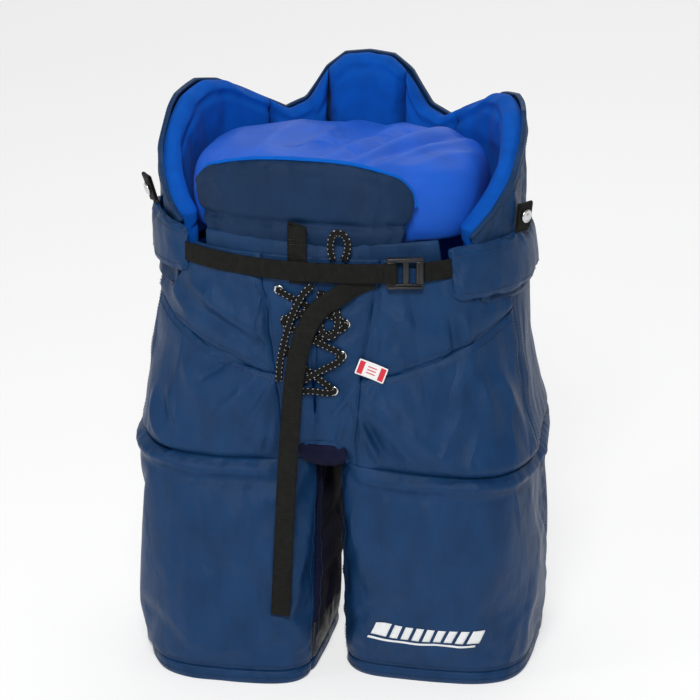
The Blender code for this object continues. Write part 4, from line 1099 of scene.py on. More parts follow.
def hip_bottom(angle):
    """Height of the thigh seam by the angle round the body, from the two legs' own seams."""
    place = body_xyz(angle, LEG_TOP)
    result = np.zeros(len(angle))
    for side, sign in SIDES.items():
        around = np.degrees(np.arctan2(sign * place[:, 0] - LEG_CENTRE, -place[:, 1]))
        around = np.where(around < -47, np.where(around < -90, around + 360, around), around)
        seam = np.interp(around, THIGH_SEAM[side][:, 0], THIGH_SEAM[side][:, 1])
        result = np.where(sign * place[:, 0] >= 0, seam, result)
    near_middle = np.abs(place[:, 0]) < 0.012
    return np.where(near_middle, 0.240, result)


# How far the panels are puffed out, and how deep their seams are.
THIGH_PUFF, YOKE_PUFF = 0.0034, 0.0030
HIP_FOOT_GROOVE, YOKE_GROOVE, PANEL_GROOVE, SLIT_GROOVE = 0.0042, 0.0030, 0.0022, 0.0020


def body_relief(angle, height, low, seam, top):
    """How far the hips' cloth stands off the plain outline."""
    away = np.abs(wrapped(angle))
    along = np.radians(wrapped(angle)) * BODY_ROUND
    total = folds(along, height, BODY_FOLDS)
    puff = arch((height - low) / (seam - low), 0.8) * ramp(away, 20, 15) * np.interp(away, (60, 90), (1.0, 0.35))
    total += np.where((away > 20) & (height < seam), THIGH_PUFF * puff, 0.0)
    upper = arch((height - seam) / np.maximum(top - seam, 1e-3), 0.8)
    total += np.where((away > 25) & (away < 74) & (height > seam), YOKE_PUFF * upper, 0.0)
    sewn = ramp(away, 19.0, 7.0)
    total -= HIP_FOOT_GROOVE * sewn * bell(height, low, 0.0035)
    pucker = puckers(along, 560.0, 930.0, 2.0)
    total += 0.0009 * sewn * pucker * bell(height - low, 0.007, 0.007)
    total -= np.where((away > 18) & (away < 78), YOKE_GROOVE * bell(height, seam, 0.0026), 0.0)
    total += np.where((away > 20) & (away < 76), 0.0006 * pucker * bell(height, seam, 0.007), 0.0)
    for line in (fly_seam(height), SIDE_SEAM, BACK_SEAM):
        distance = np.radians(away - line) * BODY_ROUND
        total -= PANEL_GROOVE * bell(distance, 0.0, 0.0028)
    slit = np.radians(np.abs(wrapped(angle + 1.7)) - 0.5) * 0.14
    total -= np.where(height > 0.285, SLIT_GROOVE * bell(np.maximum(slit, 0.0), 0.0, 0.0025), 0.0)
    return total


def meet_legs(points, rings):
    """Draw the hips' lowest rows onto the tops of the legs, so that the cloth is sewn edge to edge."""
    bottom = points[0].copy()
    moves = np.zeros_like(bottom)
    for column, place in enumerate(bottom):
        ring = rings["left" if place[0] > 0 else "right"]
        start, end = ring, np.roll(ring, -1, 0)
        run = (end - start)[:, :2]
        share = np.sum((place[:2] - start[:, :2]) * run, 1) / np.maximum(np.sum(run * run, 1), 1e-12)
        near = start + np.clip(share, 0.0, 1.0)[:, None] * (end - start)
        best = np.linalg.norm(near[:, :2] - place[:2], axis=1).argmin()
        moves[column] = near[best] - place
    for row in range(MEET_ROWS):
        fade = 0.5 + 0.5 * math.cos(math.pi * row / MEET_ROWS)
        points[row] += moves * fade
    return points


def build_hips(rings):
    """The cloth from the thigh seams up to the belt, settled as one piece and then cut into panels."""
    low_share = np.linspace(0.0, 1.0, LOW_ROWS)
    high_share = np.linspace(0.0, 1.0, HIGH_ROWS)[1:]
    rough_levels = np.concatenate([0.242 + low_share * 0.095, 0.337 + high_share * 0.119])
    angle = np.array([body_columns(level) for level in rough_levels])
    low = hip_bottom(angle[0])[None, :]
    seam, top = yoke_seam(angle), front_top(angle)
    share = np.concatenate([low_share, high_share])[:, None]
    height = low + share * (seam - low)
    height[LOW_ROWS:] = seam[LOW_ROWS:] + share[LOW_ROWS:] * (top - seam)[LOW_ROWS:]
    points = body_xyz(angle, height, body_relief(angle, height, low, seam, top))
    points += ruffle(points, 0.026, CLOTH_RUFFLE, 2)[..., None] * np.array([0.6, 0.8, 0.0])
    points = meet_legs(points, rings)
    rows, columns = angle.shape
    uvs = np.stack([np.radians(angle) * BODY_CLOTH, height], -1)
    whole = make_piece("hip_cloth", points, grid_faces(rows, columns), FINISHES["navy"], uvs)
    index = np.arange(rows * columns).reshape(rows, columns)
    ends = np.concatenate([[0], np.cumsum(BODY_COUNTS)])
    pins = set(index[0]) | set(index[-1]) | set(index[:, [*ends[:-1], -1]].ravel())
    away = np.abs(wrapped(angle))
    pins |= set(index[LOW_ROWS - 1][(away[LOW_ROWS - 1] > 17) & (away[LOW_ROWS - 1] < 76)])
    pins |= set(index[(height < CROTCH_TOP) & (away < 9)])
    settled = settle(whole, pins, frames=16, pressure=0.20, growth=0.030, cap=0.007, bending=0.35)
    bpy.data.objects.remove(whole, do_unlink=True)
    settled = over_hip_guard(settled.reshape(rows, columns, 3))
    cut_hips(settled, uvs, ends)
    hip_stitches(settled, ends)
    return settled


def hip_panels():
    """Each panel: name, block of columns, first and last row, finish and slot."""
    yoke = LOW_ROWS - 1
    panels = []
    for side, fly, front, hip in (("left", 0, 1, 2), ("right", 6, 5, 4)):
        panels.append((f"fly_facing_{side}", fly, 0, None, "navy", "navy_nylon"))
        panels.append((f"upper_thigh_panel_{side}", front, 0, yoke, "navy", "navy_nylon"))
        panels.append((f"front_yoke_{side}", front, yoke, None, "navy", "navy_nylon"))
        # The hip panels and the seat take the greyer copy of the navy nylon, which paints shade.
        panels.append((f"hip_panel_{side}", hip, 0, None, "navy_painted_shade", "navy_side_nylon"))
    return panels + [("seat_panel", 3, 0, None, "navy_painted_shade", "navy_side_nylon")]


def cut_hips(points, uvs, ends):
    """Cut the settled hips into the panels that they are sewn from."""
    for name, block, first, last, look, slot in hip_panels():
        part = slice(first, None if last is None else last + 1), slice(ends[block], ends[block + 1] + 1)
        grid, grid_uvs = points[part], uvs[part]
        keep = None
        if "facing" in name:
            middle = (grid[:-1, :-1] + grid[1:, 1:]) / 2
            edge = np.where(middle[..., 2] < GUSSET_EDGE[-1][0], gusset_edge(middle[..., 2]), 0.0)
            keep = np.abs(middle[..., 0] - LEG_SHIFT) > edge
        piece = sub_grid(f"{name}_look", grid, grid_uvs, FINISHES[look], False, keep)
        thicken(piece, CLOTH_THICK)
        finish_piece(piece, "pants", slot, name)


def hip_stitches(points, ends):
    """Sewn rows along the yokes, the fly and the side seams."""
    out = outward_of(points, False)
    runs = [lifted(points, out, (row, slice(ends[block] + 1, ends[block + 1])))
            for row in (LOW_ROWS - 3, LOW_ROWS + 1) for block in (1, 5)]
    runs += [lifted(points, out, (slice(2, -1), cut + shift)) for cut in ends[1:-1] for shift in (-2, 2)]
    runs += [lifted(points, out, (-3, part)) for part in (slice(0, ends[2] - 14), slice(ends[5] + 14, None))]
    piece = stitches("hip_stitching", runs, FINISHES["thread"])
    finish_piece(piece, "pants", "navy_nylon")


# The opening at the foot of the fly: height and half width.
GUSSET_EDGE = ((0.236, 0.0240), (0.250, 0.0210), (0.263, 0.0165))


def gusset_edge(height):
    """Half width of the opening at the foot of the fly, where the dark saddle shows."""
    return np.interp(height, [row[0] for row in GUSSET_EDGE], [row[1] for row in GUSSET_EDGE])


# The saddle's middle line, from the fly's foot under the body to the seat, and its half width along that line.
SADDLE_LINE = ((0, -0.1310, 0.276), (0, -0.1306, 0.262), (0, -0.1270, 0.244), (0, -0.112, 0.2320),
               (0, -0.070, 0.2255), (0, 0.0, 0.2240), (0, 0.070, 0.2255), (0, 0.112, 0.2300),
               (0, 0.130, 0.2450), (0, 0.138, 0.2700))
SADDLE_WIDTH = ((-0.1310, -0.129, -0.122, -0.10, 0.10, 0.138), (0.0220, 0.0250, 0.0200, 0.0125, 0.0125, 0.020))


def build_crotch(hips):
    """The dark mesh saddle between the legs, from the fly's foot to the seat, and its bound edge."""
    profile = smooth_path(SADDLE_LINE, 0.004)
    length = measured(profile)
    share = np.linspace(-1, 1, 13)
    across = LEG_SHIFT + np.interp(profile[:, 1], *SADDLE_WIDTH)[:, None] * share
    points = np.stack([across, profile[:, 1:2] + 0.0 * across, profile[:, 2:3] + 0.003 * share ** 2], -1)
    uvs = np.stack([across, np.linspace(0, length, len(profile))[:, None] + 0.0 * across], -1)
    piece = make_piece("crotch_gusset_look", points, grid_faces(*across.shape, flip=True), FINISHES["inner"], uvs)
    thicken(piece, CLOTH_THICK)
    finish_piece(piece, "pants", "inner_leg_cloth", "crotch_gusset")
    bind_fly_foot(hips.reshape(-1, 3))


def bind_fly_foot(cloth):
    """The bound edge of the opening at the foot of the fly, laid on the hips' cloth."""
    heights = np.linspace(0.2385, GUSSET_EDGE[-1][0], 9)
    side = np.stack([gusset_edge(heights), heights], -1)
    middle = np.stack([np.linspace(side[-1, 0] - 0.002, 0.0, 8), np.full(8, heights[-1] + 0.0012)], -1)
    half = np.concatenate([side[:-1], middle])
    flat = np.concatenate([half, (half * np.array([-1.0, 1.0]))[-2::-1]])
    cloth = cloth[(np.abs(cloth[:, 0]) < 0.045) & (cloth[:, 1] < 0.0)]
    edge = []
    for across, height in flat:
        away = (cloth[:, 0] - across - LEG_SHIFT) ** 2 + (cloth[:, 2] - height) ** 2
        near = np.argsort(away)[:4]
        edge.append((across + LEG_SHIFT, cloth[near, 1].mean() - 0.0004, height))
    path = smooth_path(edge, 0.0015)
    binding = strap("fly_foot_binding", path, facing(path), 0.0042, 0.0016, FINISHES["navy"])
    finish_piece(binding, "pants", "navy_nylon")


# ---------------------------------------------------------------- padded band
def span_place(start, end, low, top):
    """A place function for a pillow on the body between two angles, a height and an upper edge."""
    def place(across, up, out):
        angle = start + (end - start) * across
        height = low + (top(angle) - low) * up
        return body_xyz(angle, height, out)
    return place


BAND_COLUMNS, BAND_ROWS = 230, 44
# How far the band is padded, and how deep its rows of stitching under the rim and at its foot are.
BAND_PUFF, RIM_GROOVE, BAND_GROOVE = 0.0030, 0.0018, 0.0022


def build_band():
    """The navy outer band with its bound edge."""
    angles = np.linspace(BAND_FRONT + 0.5, 360 - BAND_FRONT - 0.5, BAND_COLUMNS)
    share = np.linspace(0.0, 1.0, BAND_ROWS)[:, None]
    top = rim_height(angles)[None, :]
    height = BAND_BOTTOM - 0.002 + share * (top - BAND_BOTTOM + 0.002)
    angle = np.tile(angles, (BAND_ROWS, 1))
    relief = BAND_PUFF * np.sin(math.pi * share) ** 0.6 - RIM_GROOVE * bell(top - height, 0.006, 0.0016)
    relief = relief - BAND_GROOVE * bell(height, BAND_BOTTOM, 0.003)
    points = body_xyz(angle, height, relief)
    points += ruffle(points, 0.030, 0.0014, 3)[..., None] * np.array([0.7, 0.7, 0.0])
    uvs = np.stack([np.radians(angle) * BODY_CLOTH, height], -1)
    piece = make_piece("back_band_shell_look", points, grid_faces(*angle.shape), FINISHES["navy_painted_shade"], uvs)
    index = np.arange(angle.size).reshape(angle.shape)
    pins = set(index[[0, -1, -4]].ravel()) | set(index[:, [0, -1]].ravel())
    settled = settle(piece, pins, frames=14, pressure=0.2, growth=0.022, cap=0.005, bending=0.4)
    settled = settled.reshape(*angle.shape, 3)
    thicken(piece, BAND_THICK)
    finish_piece(piece, "pants", "navy_side_nylon", "back_band_shell")
    rim = settled[-1] + np.array([0.0, 0.0, -0.0006])
    upwards = np.tile([0.0, 0.0, 1.0], (len(rim), 1))
    binding = strap("rim_binding", rim - facing_out(rim) * 0.0016, upwards, 0.0052, 0.0030, FINISHES["navy_painted_shade"])
    finish_piece(binding, "pants", "navy_side_nylon")
    out = outward_of(settled, False)
    runs = [lifted(settled, out, row) for row in (-4, 3)]
    piece = stitches("band_stitching", runs, FINISHES["thread"])
    finish_piece(piece, "pants", "navy_side_nylon")


PAD_INNER, SPINE_INNER, PAD_OUTER = -0.0235, -0.0253, -0.0030


def build_pads():
    """The five blue pads inside the band, each settled on its own and then quilted."""
    spans = [("spine_pad", SPINE_SEAM, 360 - SPINE_SEAM, SPINE_INNER)]
    for side, sign in SIDES.items():
        spans.append((f"wing_pad_{side}", *sorted((sign * 62.5, sign * WING_SEAM)), PAD_INNER))
        spans.append((f"back_pad_{side}", *sorted((sign * WING_SEAM, sign * SPINE_SEAM)), PAD_INNER))
    runs = []
    for name, start, end, inner in spans:
        size = (np.radians(end - start) * BODY_ROUND, float(rim_height((start + end) / 2)) - PAD_BOTTOM)
        place = span_place(start + 0.05, end - 0.05, PAD_BOTTOM, lambda angle: rim_height(angle) + 0.0002)
        piece, index, behind = pillow(name + "_look", place, size, (inner, PAD_OUTER), 0.0095, FINISHES["lining"],
                                      step=0.0045)
        pins = set(index[2:-2, 2:-2].ravel())
        points = settle(piece, pins, frames=14, pressure=2.5, growth=0.010, cap=0.0045, bending=0.8)
        points = quilt_pad(piece, points, name)
        subdivide(piece)
        finish_piece(piece, "pants", "blue_lining", name)
        runs += pad_runs(points, behind, name)
    piece = stitches("pad_stitching", runs, FINISHES["blue_thread"])
    finish_piece(piece, "pants", "blue_lining")


def quilt_pad(piece, points, name):
    """Press the sewn line into a pad, a finger's width inside its edge."""
    angle = angle_of(points)
    degrees = np.arange(0, 181.0)
    slope = np.abs(np.gradient(rim_height(degrees)))
    steep = np.interp(np.abs(angle), degrees, slope) / math.radians(1) / BODY_ROUND
    edge = (rim_height(angle) - points[:, 2]) / np.sqrt(1.0 + steep ** 2)
    inside = np.linalg.norm(body_xyz(angle, points[:, 2])[:, :2], axis=1) - np.linalg.norm(points[:, :2], axis=1)
    on_inner = ramp(inside, 0.012, 0.006)
    sewn = 0.0048 * bell(edge, 0.0125, 0.0022)
    if name == "spine_pad":
        sewn = sewn * 0.5
    points = points + facing_out(points) * (sewn * on_inner)[:, None]
    set_points(piece, points)
    return points


def pad_runs(points, behind, name):
    """The sewn line of a pad, on the side that faces the wearer."""
    if name == "spine_pad":
        return []
    back = points[behind]
    edge = rim_height(angle_of(back)) - back[..., 2]
    rows = np.abs(edge - 0.0150).argmin(axis=0)
    columns = np.arange(6, back.shape[1] - 6)
    line = back[rows[columns], columns]
    return [(line, -facing_out(line))]


# ---------------------------------------------------------------- stuffing
# From the middle of its top out and down to its underside: share of the outline, and height.
INSERT_LINE = ((0.004, 0, 0.5370), (0.40, 0, 0.5372), (0.70, 0, 0.5368), (0.88, 0, 0.5335), (0.965, 0, 0.5235),
               (1.0, 0, 0.5030), (1.0, 0, 0.4750), (0.97, 0, 0.4650), (0.80, 0, 0.4640))
# Draped folds over the top of the stuffing: from (x, y) to (x, y), width, size.
INSERT_FOLDS = (
    (-0.075, -0.070, -0.060, 0.090, 0.011, 0.0032), (-0.045, -0.085, 0.000, 0.105, 0.010, 0.0040),
    (-0.012, -0.090, 0.050, 0.100, 0.010, 0.0044), (0.020, -0.090, 0.095, 0.085, 0.010, 0.0046),
    (0.050, -0.085, 0.125, 0.050, 0.010, 0.0042), (0.085, -0.070, 0.138, 0.010, 0.009, 0.0034),
    (-0.028, -0.080, 0.028, 0.100, 0.007, -0.0034), (0.004, -0.085, 0.075, 0.090, 0.007, -0.0036),
    (0.036, -0.080, 0.112, 0.065, 0.007, -0.0034), (-0.110, -0.045, -0.115, 0.060, 0.012, 0.0028),
)
INSERT_SPOKES = 120


def build_insert():
    """The cloth-covered stuffing: a soft dome that keeps the waist open."""
    profile = smooth_path(INSERT_LINE, 0.026)
    reach = profile[:, 0:1]
    angles = np.radians(np.linspace(0, 360, INSERT_SPOKES, endpoint=False))
    front = np.where(np.cos(angles) > 0, INSERT_FRONT, INSERT_BACK)
    radius = outline(angles, INSERT_HALF, front, 3.0)
    across = reach * (radius * np.sin(angles)) + BAND_LEAN
    points = np.stack([across, -reach * (radius * np.cos(angles)), profile[:, 2:3] + 0.0 * across], -1)
    lift = folds(points[..., 0], points[..., 1], INSERT_FOLDS)
    points[..., 2] += lift + ruffle(points, 0.045, 0.0016, 5)
    rows = len(profile)
    faces = grid_faces(rows, INSERT_SPOKES, wrap=True, flip=True).tolist()
    faces.append(list(range(INSERT_SPOKES)))
    faces.append(list(range(rows * INSERT_SPOKES - 1, (rows - 1) * INSERT_SPOKES - 1, -1)))
    piece = make_piece("display_insert_look", points, faces, FINISHES["insert"])
    tidy_normals(piece)
    last = range((rows - 2) * INSERT_SPOKES, rows * INSERT_SPOKES)
    settle(piece, last, frames=18, pressure=0.8, growth=0.025, cap=0.0035, bending=0.25)
    subdivide(piece)
    finish_piece(piece, "insert", "insert_cloth", "display_insert")


# ---------------------------------------------------------------- belly flap and tongue
FLAP_LOW, FLAP_CORNER = 0.4600, 0.020
FLAP_INNER, FLAP_OUTER, FLAP_EDGE = -0.0160, -0.0046, 0.0055
# How deep the sewn fold is, and how high the ridge over the stitching near the upper edge.
FOLD_GROOVE, FLAP_RIDGE = 0.0064, 0.0022
# The line about which the cloth bends: the flap's lower edge stays, and above the second place it all turns.
fold_place, fold_end = (0.0, -0.112, FLAP_FOLD - 0.014), (0.0, -0.112, FLAP_FOLD + 0.010)


def quarter_round(near):
    """How far a rounded corner drops, as a share of its radius, from 0 to 1 towards its end."""
    return 1.0 - np.sqrt(1.0 - near ** 2)


def flap_place(across, up, out):
    """The flap's outline: rounded upper corners, and sides that draw in towards the fold."""
    start, end = FLAP_ANGLES
    middle, half = (start + end) / 2, (end - start) / 2
    narrow = 1.0 - 0.14 * (1.0 - up) ** 1.5
    angle = middle + half * (2 * across - 1.0) * narrow
    from_side = np.minimum(across, 1.0 - across) * np.radians(end - start) * FLAP_ROUND
    near = np.clip(1.0 - from_side / FLAP_CORNER, 0.0, 1.0)
    top = flap_top(angle) - FLAP_CORNER * quarter_round(near)
    height = FLAP_LOW + (top - FLAP_LOW) * up
    return body_xyz(angle, height, out)


def build_flap():
    """The belly flap: padded, edged with blue piping, and sewn down along its fold."""
    size = (np.radians(FLAP_ANGLES[1] - FLAP_ANGLES[0]) * FLAP_ROUND, 0.088)
    # The flap's cloth is the darker copy of the navy nylon, which paints its shade.
    piece, index, behind = pillow("belly_flap_look", flap_place, size, (FLAP_INNER, FLAP_OUTER), FLAP_EDGE,
                                  FINISHES["flap"], step=0.0040)
    pins = set(index[:3].ravel()) | set(behind[:3].ravel()) | set(index[:, [0, -1]].ravel()) | set(index[-1])
    points = settle(piece, pins, frames=14, pressure=1.2, growth=0.018, cap=0.0035, bending=0.5)
    fold = FOLD_GROOVE * bell(points[:, 2], FLAP_FOLD, 0.0022)
    ridge = FLAP_RIDGE * bell(flap_top(angle_of(points)) - points[:, 2], 0.0150, 0.0020)
    front = np.isin(np.arange(len(points)), index)
    points = points - facing_out(points) * np.where(front, fold + ridge, -fold * 0.4)[:, None]
    set_points(piece, points)
    piece.data.materials.append(FINISHES["lining"])
    count = len(piece.data.polygons)
    piece.data.polygons.foreach_set("material_index", (np.arange(count) >= count // 2).astype(int))
    piece.data.update()
    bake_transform(piece, "pants", "belly_flap", fold_place, fold_end)
    subdivide(piece)
    finish_piece(piece, "belly_flap", "navy_nylon", "belly_flap")
    pipe_flap(points[index])
    across = np.linspace(0.04, 0.96, 90)
    angle = FLAP_ANGLES[0] + (FLAP_ANGLES[1] - FLAP_ANGLES[0]) * across
    line = body_xyz(angle * 0.97, FLAP_FOLD, -0.0088)
    outward = np.array([body_out(float(turn), FLAP_FOLD) for turn in angle])
    sewn = stitches("flap_fold_stitching", [(line, outward)], FINISHES["black_thread"])
    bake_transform(sewn, "pants", "belly_flap", fold_place, fold_end)
    finish_piece(sewn, "belly_flap", "navy_nylon")


def pipe_flap(rim):
    """The piping round the flap's edge above the fold, a little outside the cloth."""
    edge = np.concatenate([rim[24:, 0], rim[-1, 1:-1], rim[24:, -1][::-1]])
    edge = edge + unit(edge - rim.mean(axis=(0, 1))) * 0.0016
    path = smooth_path(edge[::2], 0.0030)
    piping = strap("flap_piping", path, facing_out(path), 0.0034, 0.0030, FINISHES["piping"])
    finish_piece(piping, "belly_flap", "blue_lining")


def build_tongue():
    """The tongue behind the lacing."""
    place = span_place(-50, 50, 0.336, lambda angle: np.full(np.shape(angle), 0.472))
    piece, index, _ = pillow("tongue_base_look", place, (0.27, 0.136), (-0.0110, -0.0036), 0.0036,
                             FINISHES["navy_painted_shade"], step=0.006)
    settle(piece, set(index[:2].ravel()), frames=12, pressure=1.0, growth=0.012, cap=0.0018)
    finish_piece(piece, "pants", "navy_nylon", "tongue_base")


# ---------------------------------------------------------------- belt
def cover_place(side):
    """A place function for a belt cover: rounded front corners, and an upper edge that sags to the front."""
    start, end, bottom, top, sag = COVERS[side]

    def place(across, up, out):
        share = across if side == "left" else 1.0 - across
        rounded = quarter_round(np.clip(1.0 - share * BODY_ROUND / 0.012, 0.0, 1.0))
        low = bottom + 0.007 * rounded
        high = top - 0.004 * rounded - sag * np.clip(1.0 - share / 0.35, 0.0, 1.0)
        angle = SIDES[side] * (start + (end - start) * share)
        return body_xyz(angle, low + (high - low) * up, out - 0.0052 * ramp(share, 0.86, 0.14) ** 2)
    return place


def build_covers():
    """The belt's two padded covers on the hips."""
    runs = []
    for side in SIDES:
        size = (np.radians(COVERS[side][1] - COVERS[side][0]) * BODY_ROUND, 0.057)
        name = f"belt_cover_{side}"
        piece, index, behind = pillow(name + "_look", cover_place(side), size, (0.0010, 0.0074), 0.0042,
                                      FINISHES["navy"], step=0.0042)
        pins = set(behind[2:-2, 2:-2].ravel())
        front = settle(piece, pins, frames=14, pressure=1.4, growth=0.030, cap=0.0035, bending=0.4)[index]
        subdivide(piece)
        finish_piece(piece, "pants", "navy_nylon", name)
        runs += [lifted(front[row, 5:-5], facing_out(front[row, 5:-5]), slice(None), 0.0001) for row in (6, -7)]
    piece = stitches("cover_stitching", runs, FINISHES["thread"])
    finish_piece(piece, "pants", "navy_nylon")


def belt_path(angles, outs):
    """Points and outward vectors of the belt between two angles, standing off the body by outs at both ends."""
    count = int(abs(np.radians(angles[1] - angles[0])) * BELT_ROUND / 0.0006)
    share = np.linspace(0.0, 1.0, count)
    angle = angles[0] + (angles[1] - angles[0]) * share
    outward = np.array([body_out(float(turn), BELT_HEIGHT) for turn in angle])
    points = body_xyz(angle, BELT_HEIGHT) + outward * (outs[0] + (outs[1] - outs[0]) * share)[:, None]
    return points, outward


def build_belt():
    """The belt's two straps. The short one bends with the buckle."""
    half = math.degrees(BUCKLE_WIDTH / 2 / 0.158)
    points, outward = belt_path((-COVERS["right"][0] - 1.0, BUCKLE_ANGLE - half - 0.1), (0.0048, 0.0110))
    points[:, 2] -= 0.0025 * np.sin(np.linspace(0, math.pi, len(points)))
    piece = strap("belt_strap_right_look", points, outward, WEB_WIDTH, WEB_THICK, FINISHES["webbing"], WEB_RIB)
    finish_piece(piece, "pants", "black_webbing", "belt_strap_right")
    points, outward = belt_path((BUCKLE_ANGLE + half + 0.2, COVERS["left"][0] + 1.0), (0.0088, 0.0036))
    piece = strap("belt_strap_left_look", points, outward, WEB_WIDTH, WEB_THICK, FINISHES["webbing"], WEB_RIB)
    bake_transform(piece, "pants", "buckle", tuple(points[-1]), tuple(points[2]))
    finish_piece(piece, "pants", "black_webbing", "belt_strap_left")


def buckle_frame():
    """The buckle's hinge line, the direction from there to its free side, and outwards."""
    outward = body_out(BUCKLE_ANGLE, BELT_HEIGHT)
    along = Vector((outward.y, -outward.x, 0.0))
    centre = Vector(body_xyz(BUCKLE_ANGLE, BELT_HEIGHT)) + outward * BUCKLE_OUT
    return centre - along * (BUCKLE_WIDTH / 2), along, outward


def rounded_bar(work, low, high):
    """A block between two corners in the buckle's own directions: along, out and up."""
    corner, along, outward = buckle_frame()
    for vert in bmesh.ops.create_cube(work, size=1.0)["verts"]:
        share = [low[axis] + (high[axis] - low[axis]) * (vert.co[axis] + 0.5) for axis in range(3)]
        vert.co = corner + along * share[0] + outward * share[1] + Vector((0.0, 0.0, share[2]))


def build_buckle():
    """A ladder-lock buckle: a frame with raised lips, two bars, and the webbing that folds round one."""
    work = bmesh.new()
    top, thick = BUCKLE_HEIGHT / 2, BUCKLE_THICK / 2
    for sign in (-1, 1):
        inner, outer = sorted((sign * 0.0108, sign * top))
        rounded_bar(work, (0.0, -thick, inner), (BUCKLE_WIDTH, thick * 0.7, outer))
        rim_low, rim_high = sorted((sign * (top - 0.0024), sign * top))
        rounded_bar(work, (0.0008, thick * 0.4, rim_low), (BUCKLE_WIDTH - 0.0008, thick + 0.0016, rim_high))
    # The hinged end and its lip, the middle bar, and the bar that the short strap folds round.
    for start, end, back, front, half in ((0.0, 0.0070, -thick, thick, 0.0115),
                                          (0.0012, 0.0042, thick * 0.6, thick + 0.0014, 0.0108),
                                          (0.0140, 0.0200, -thick * 0.8, thick * 0.5, 0.0115),
                                          (0.0270, BUCKLE_WIDTH, -thick * 0.9, thick * 0.9, 0.0115)):
        rounded_bar(work, (start, back, -half), (end, front, half))
    mesh = bpy.data.meshes.new("belt_buckle_look")
    bmesh.ops.recalc_face_normals(work, faces=work.faces)
    work.to_mesh(mesh)
    work.free()
    mesh.shade_smooth()
    mesh.materials.append(FINISHES["plastic"])
    piece = link("belt_buckle_look", mesh)
    soft = piece.modifiers.new("edges", "BEVEL")
    soft.width = 0.0009
    soft.segments = 3
    finish_piece(piece, "buckle", "black_plastic", "belt_buckle")
    wrap_webbing(thick + 0.0012)


def wrap_webbing(reach_out):
    """The short strap's webbing, folded round the buckle's outer bar."""
    corner, along, outward = buckle_frame()
    middle = corner + along * (0.0270 + 0.0045)
    ring = []
    for turn in np.linspace(0.0, math.tau, 73):
        bulge = (abs(math.cos(turn)) ** 4 + abs(math.sin(turn)) ** 4) ** -0.25
        across, out = 0.0052 * bulge * math.cos(turn), reach_out * bulge * math.sin(turn)
        ring.append(middle + along * across + outward * out)
    path = np.array(ring)
    loop = strap("buckle_webbing_look", path, unit(path - np.array(middle)), WEB_WIDTH, WEB_THICK,
                 FINISHES["webbing"], 0.00015)
    finish_piece(loop, "buckle", "black_webbing", "buckle_webbing")


# ---------------------------------------------------------------- trim
def turned(name, centre, axis, profile, finish, spokes=32):
    """A turned piece about an axis, from (radius, distance along the axis) pairs."""
    axis = Vector(axis).normalized()
    side = axis.orthogonal().normalized()
    other = axis.cross(side)
    points = []
    for radius, along in profile:
        for spoke in range(spokes):
            turn = math.tau * spoke / spokes
            points.append(Vector(centre) + axis * along + (side * math.cos(turn) + other * math.sin(turn)) * radius)
    faces = grid_faces(len(profile), spokes, wrap=True).tolist()
    if profile[0] != profile[-1]:
        faces.append(list(range(spokes)))
        faces.append([(len(profile) - 1) * spokes + spoke for spoke in range(spokes)])
    piece = make_piece(name, np.array(points), faces, finish)
    tidy_normals(piece)
    return piece


def join(name, pieces):
    """One piece from several that share a finish."""
    work = bmesh.new()
    for piece in pieces:
        work.from_mesh(piece.data)
    mesh = bpy.data.meshes.new(name)
    work.to_mesh(mesh)
    work.free()
    mesh.materials.append(pieces[0].data.materials[0])
    mesh.shade_smooth()
    for piece in pieces:
        bpy.data.objects.remove(piece, do_unlink=True)
    return link(name, mesh)


def eyelet_place(side, row, out):
    """Where an eyelet sits on the fly."""
    height = EYELET_HEIGHTS[row]
    angle = math.degrees(math.atan2(EYELET_X[side][row], np.interp(height, BODY[:, 0], BODY[:, 2])))
    return Vector(body_xyz(angle, height, out))


def build_eyelets():
    """A rolled metal eyelet at every hole of the fly."""
    profile = [(0.0036 + 0.0014 * math.cos(turn), 0.0009 * math.sin(turn)) for turn in np.linspace(0, math.tau, 13)]
    profile[-1] = profile[0]
    for side in SIDES:
        rings = []
        for row, height in enumerate(EYELET_HEIGHTS):
            place = eyelet_place(side, row, 0.0016)
            rings.append(turned(f"eyelet_{row}", place, body_out(0.0, height), profile, FINISHES["metal"]))
        piece = join(f"eyelets_{side}", rings)
        finish_piece(piece, "pants", "silver_metal", f"eyelet_strip_{side}")


def build_lacing():
    """The threaded lace: two zigzags that cross between the eyelets."""
    count = len(EYELET_HEIGHTS)
    down = [("left" if row % 2 else "right", row) for row in range(count)]
    up = [("left" if side == "right" else "right", row) for side, row in reversed(down)]
    route = []
    for number, (side, row) in enumerate(down + up):
        out = 0.0036 if number < count else 0.0056
        place = eyelet_place(side, row, out)
        if number:
            crossing = (route[-1] + place) / 2
            crossing.y = min(crossing.y, body_xyz(0, crossing.z, out + 0.0006)[1])
            route.append(crossing)
        route.append(place)
    path = smooth_path(route, 0.0007)
    piece = strap("fly_lace_look", path, facing(path), LACE_WIDTH, LACE_THICK, FINISHES["lace"], sway=LACE_SWAY)
    finish_piece(piece, "pants", "black_webbing", "fly_lace")
    for number, side in enumerate(SIDES):
        for row in range(count):
            start = eyelet_place(side, row, 0.0034)
            inward = Vector((-SIDES[side], 0.0, 0.25 if number else -0.25))
            behind = start - inward * 0.0045 + Vector((0, 0.004, 0))
            tuck = smooth_path((behind, start, start + inward * 0.006), 0.0007)
            stub = strap(f"lace_tuck_{side}_{row}", tuck, facing(tuck), LACE_WIDTH * 0.8, LACE_THICK,
                         FINISHES["lace"], sway=LACE_SWAY)
            finish_piece(stub, "pants", "black_webbing")


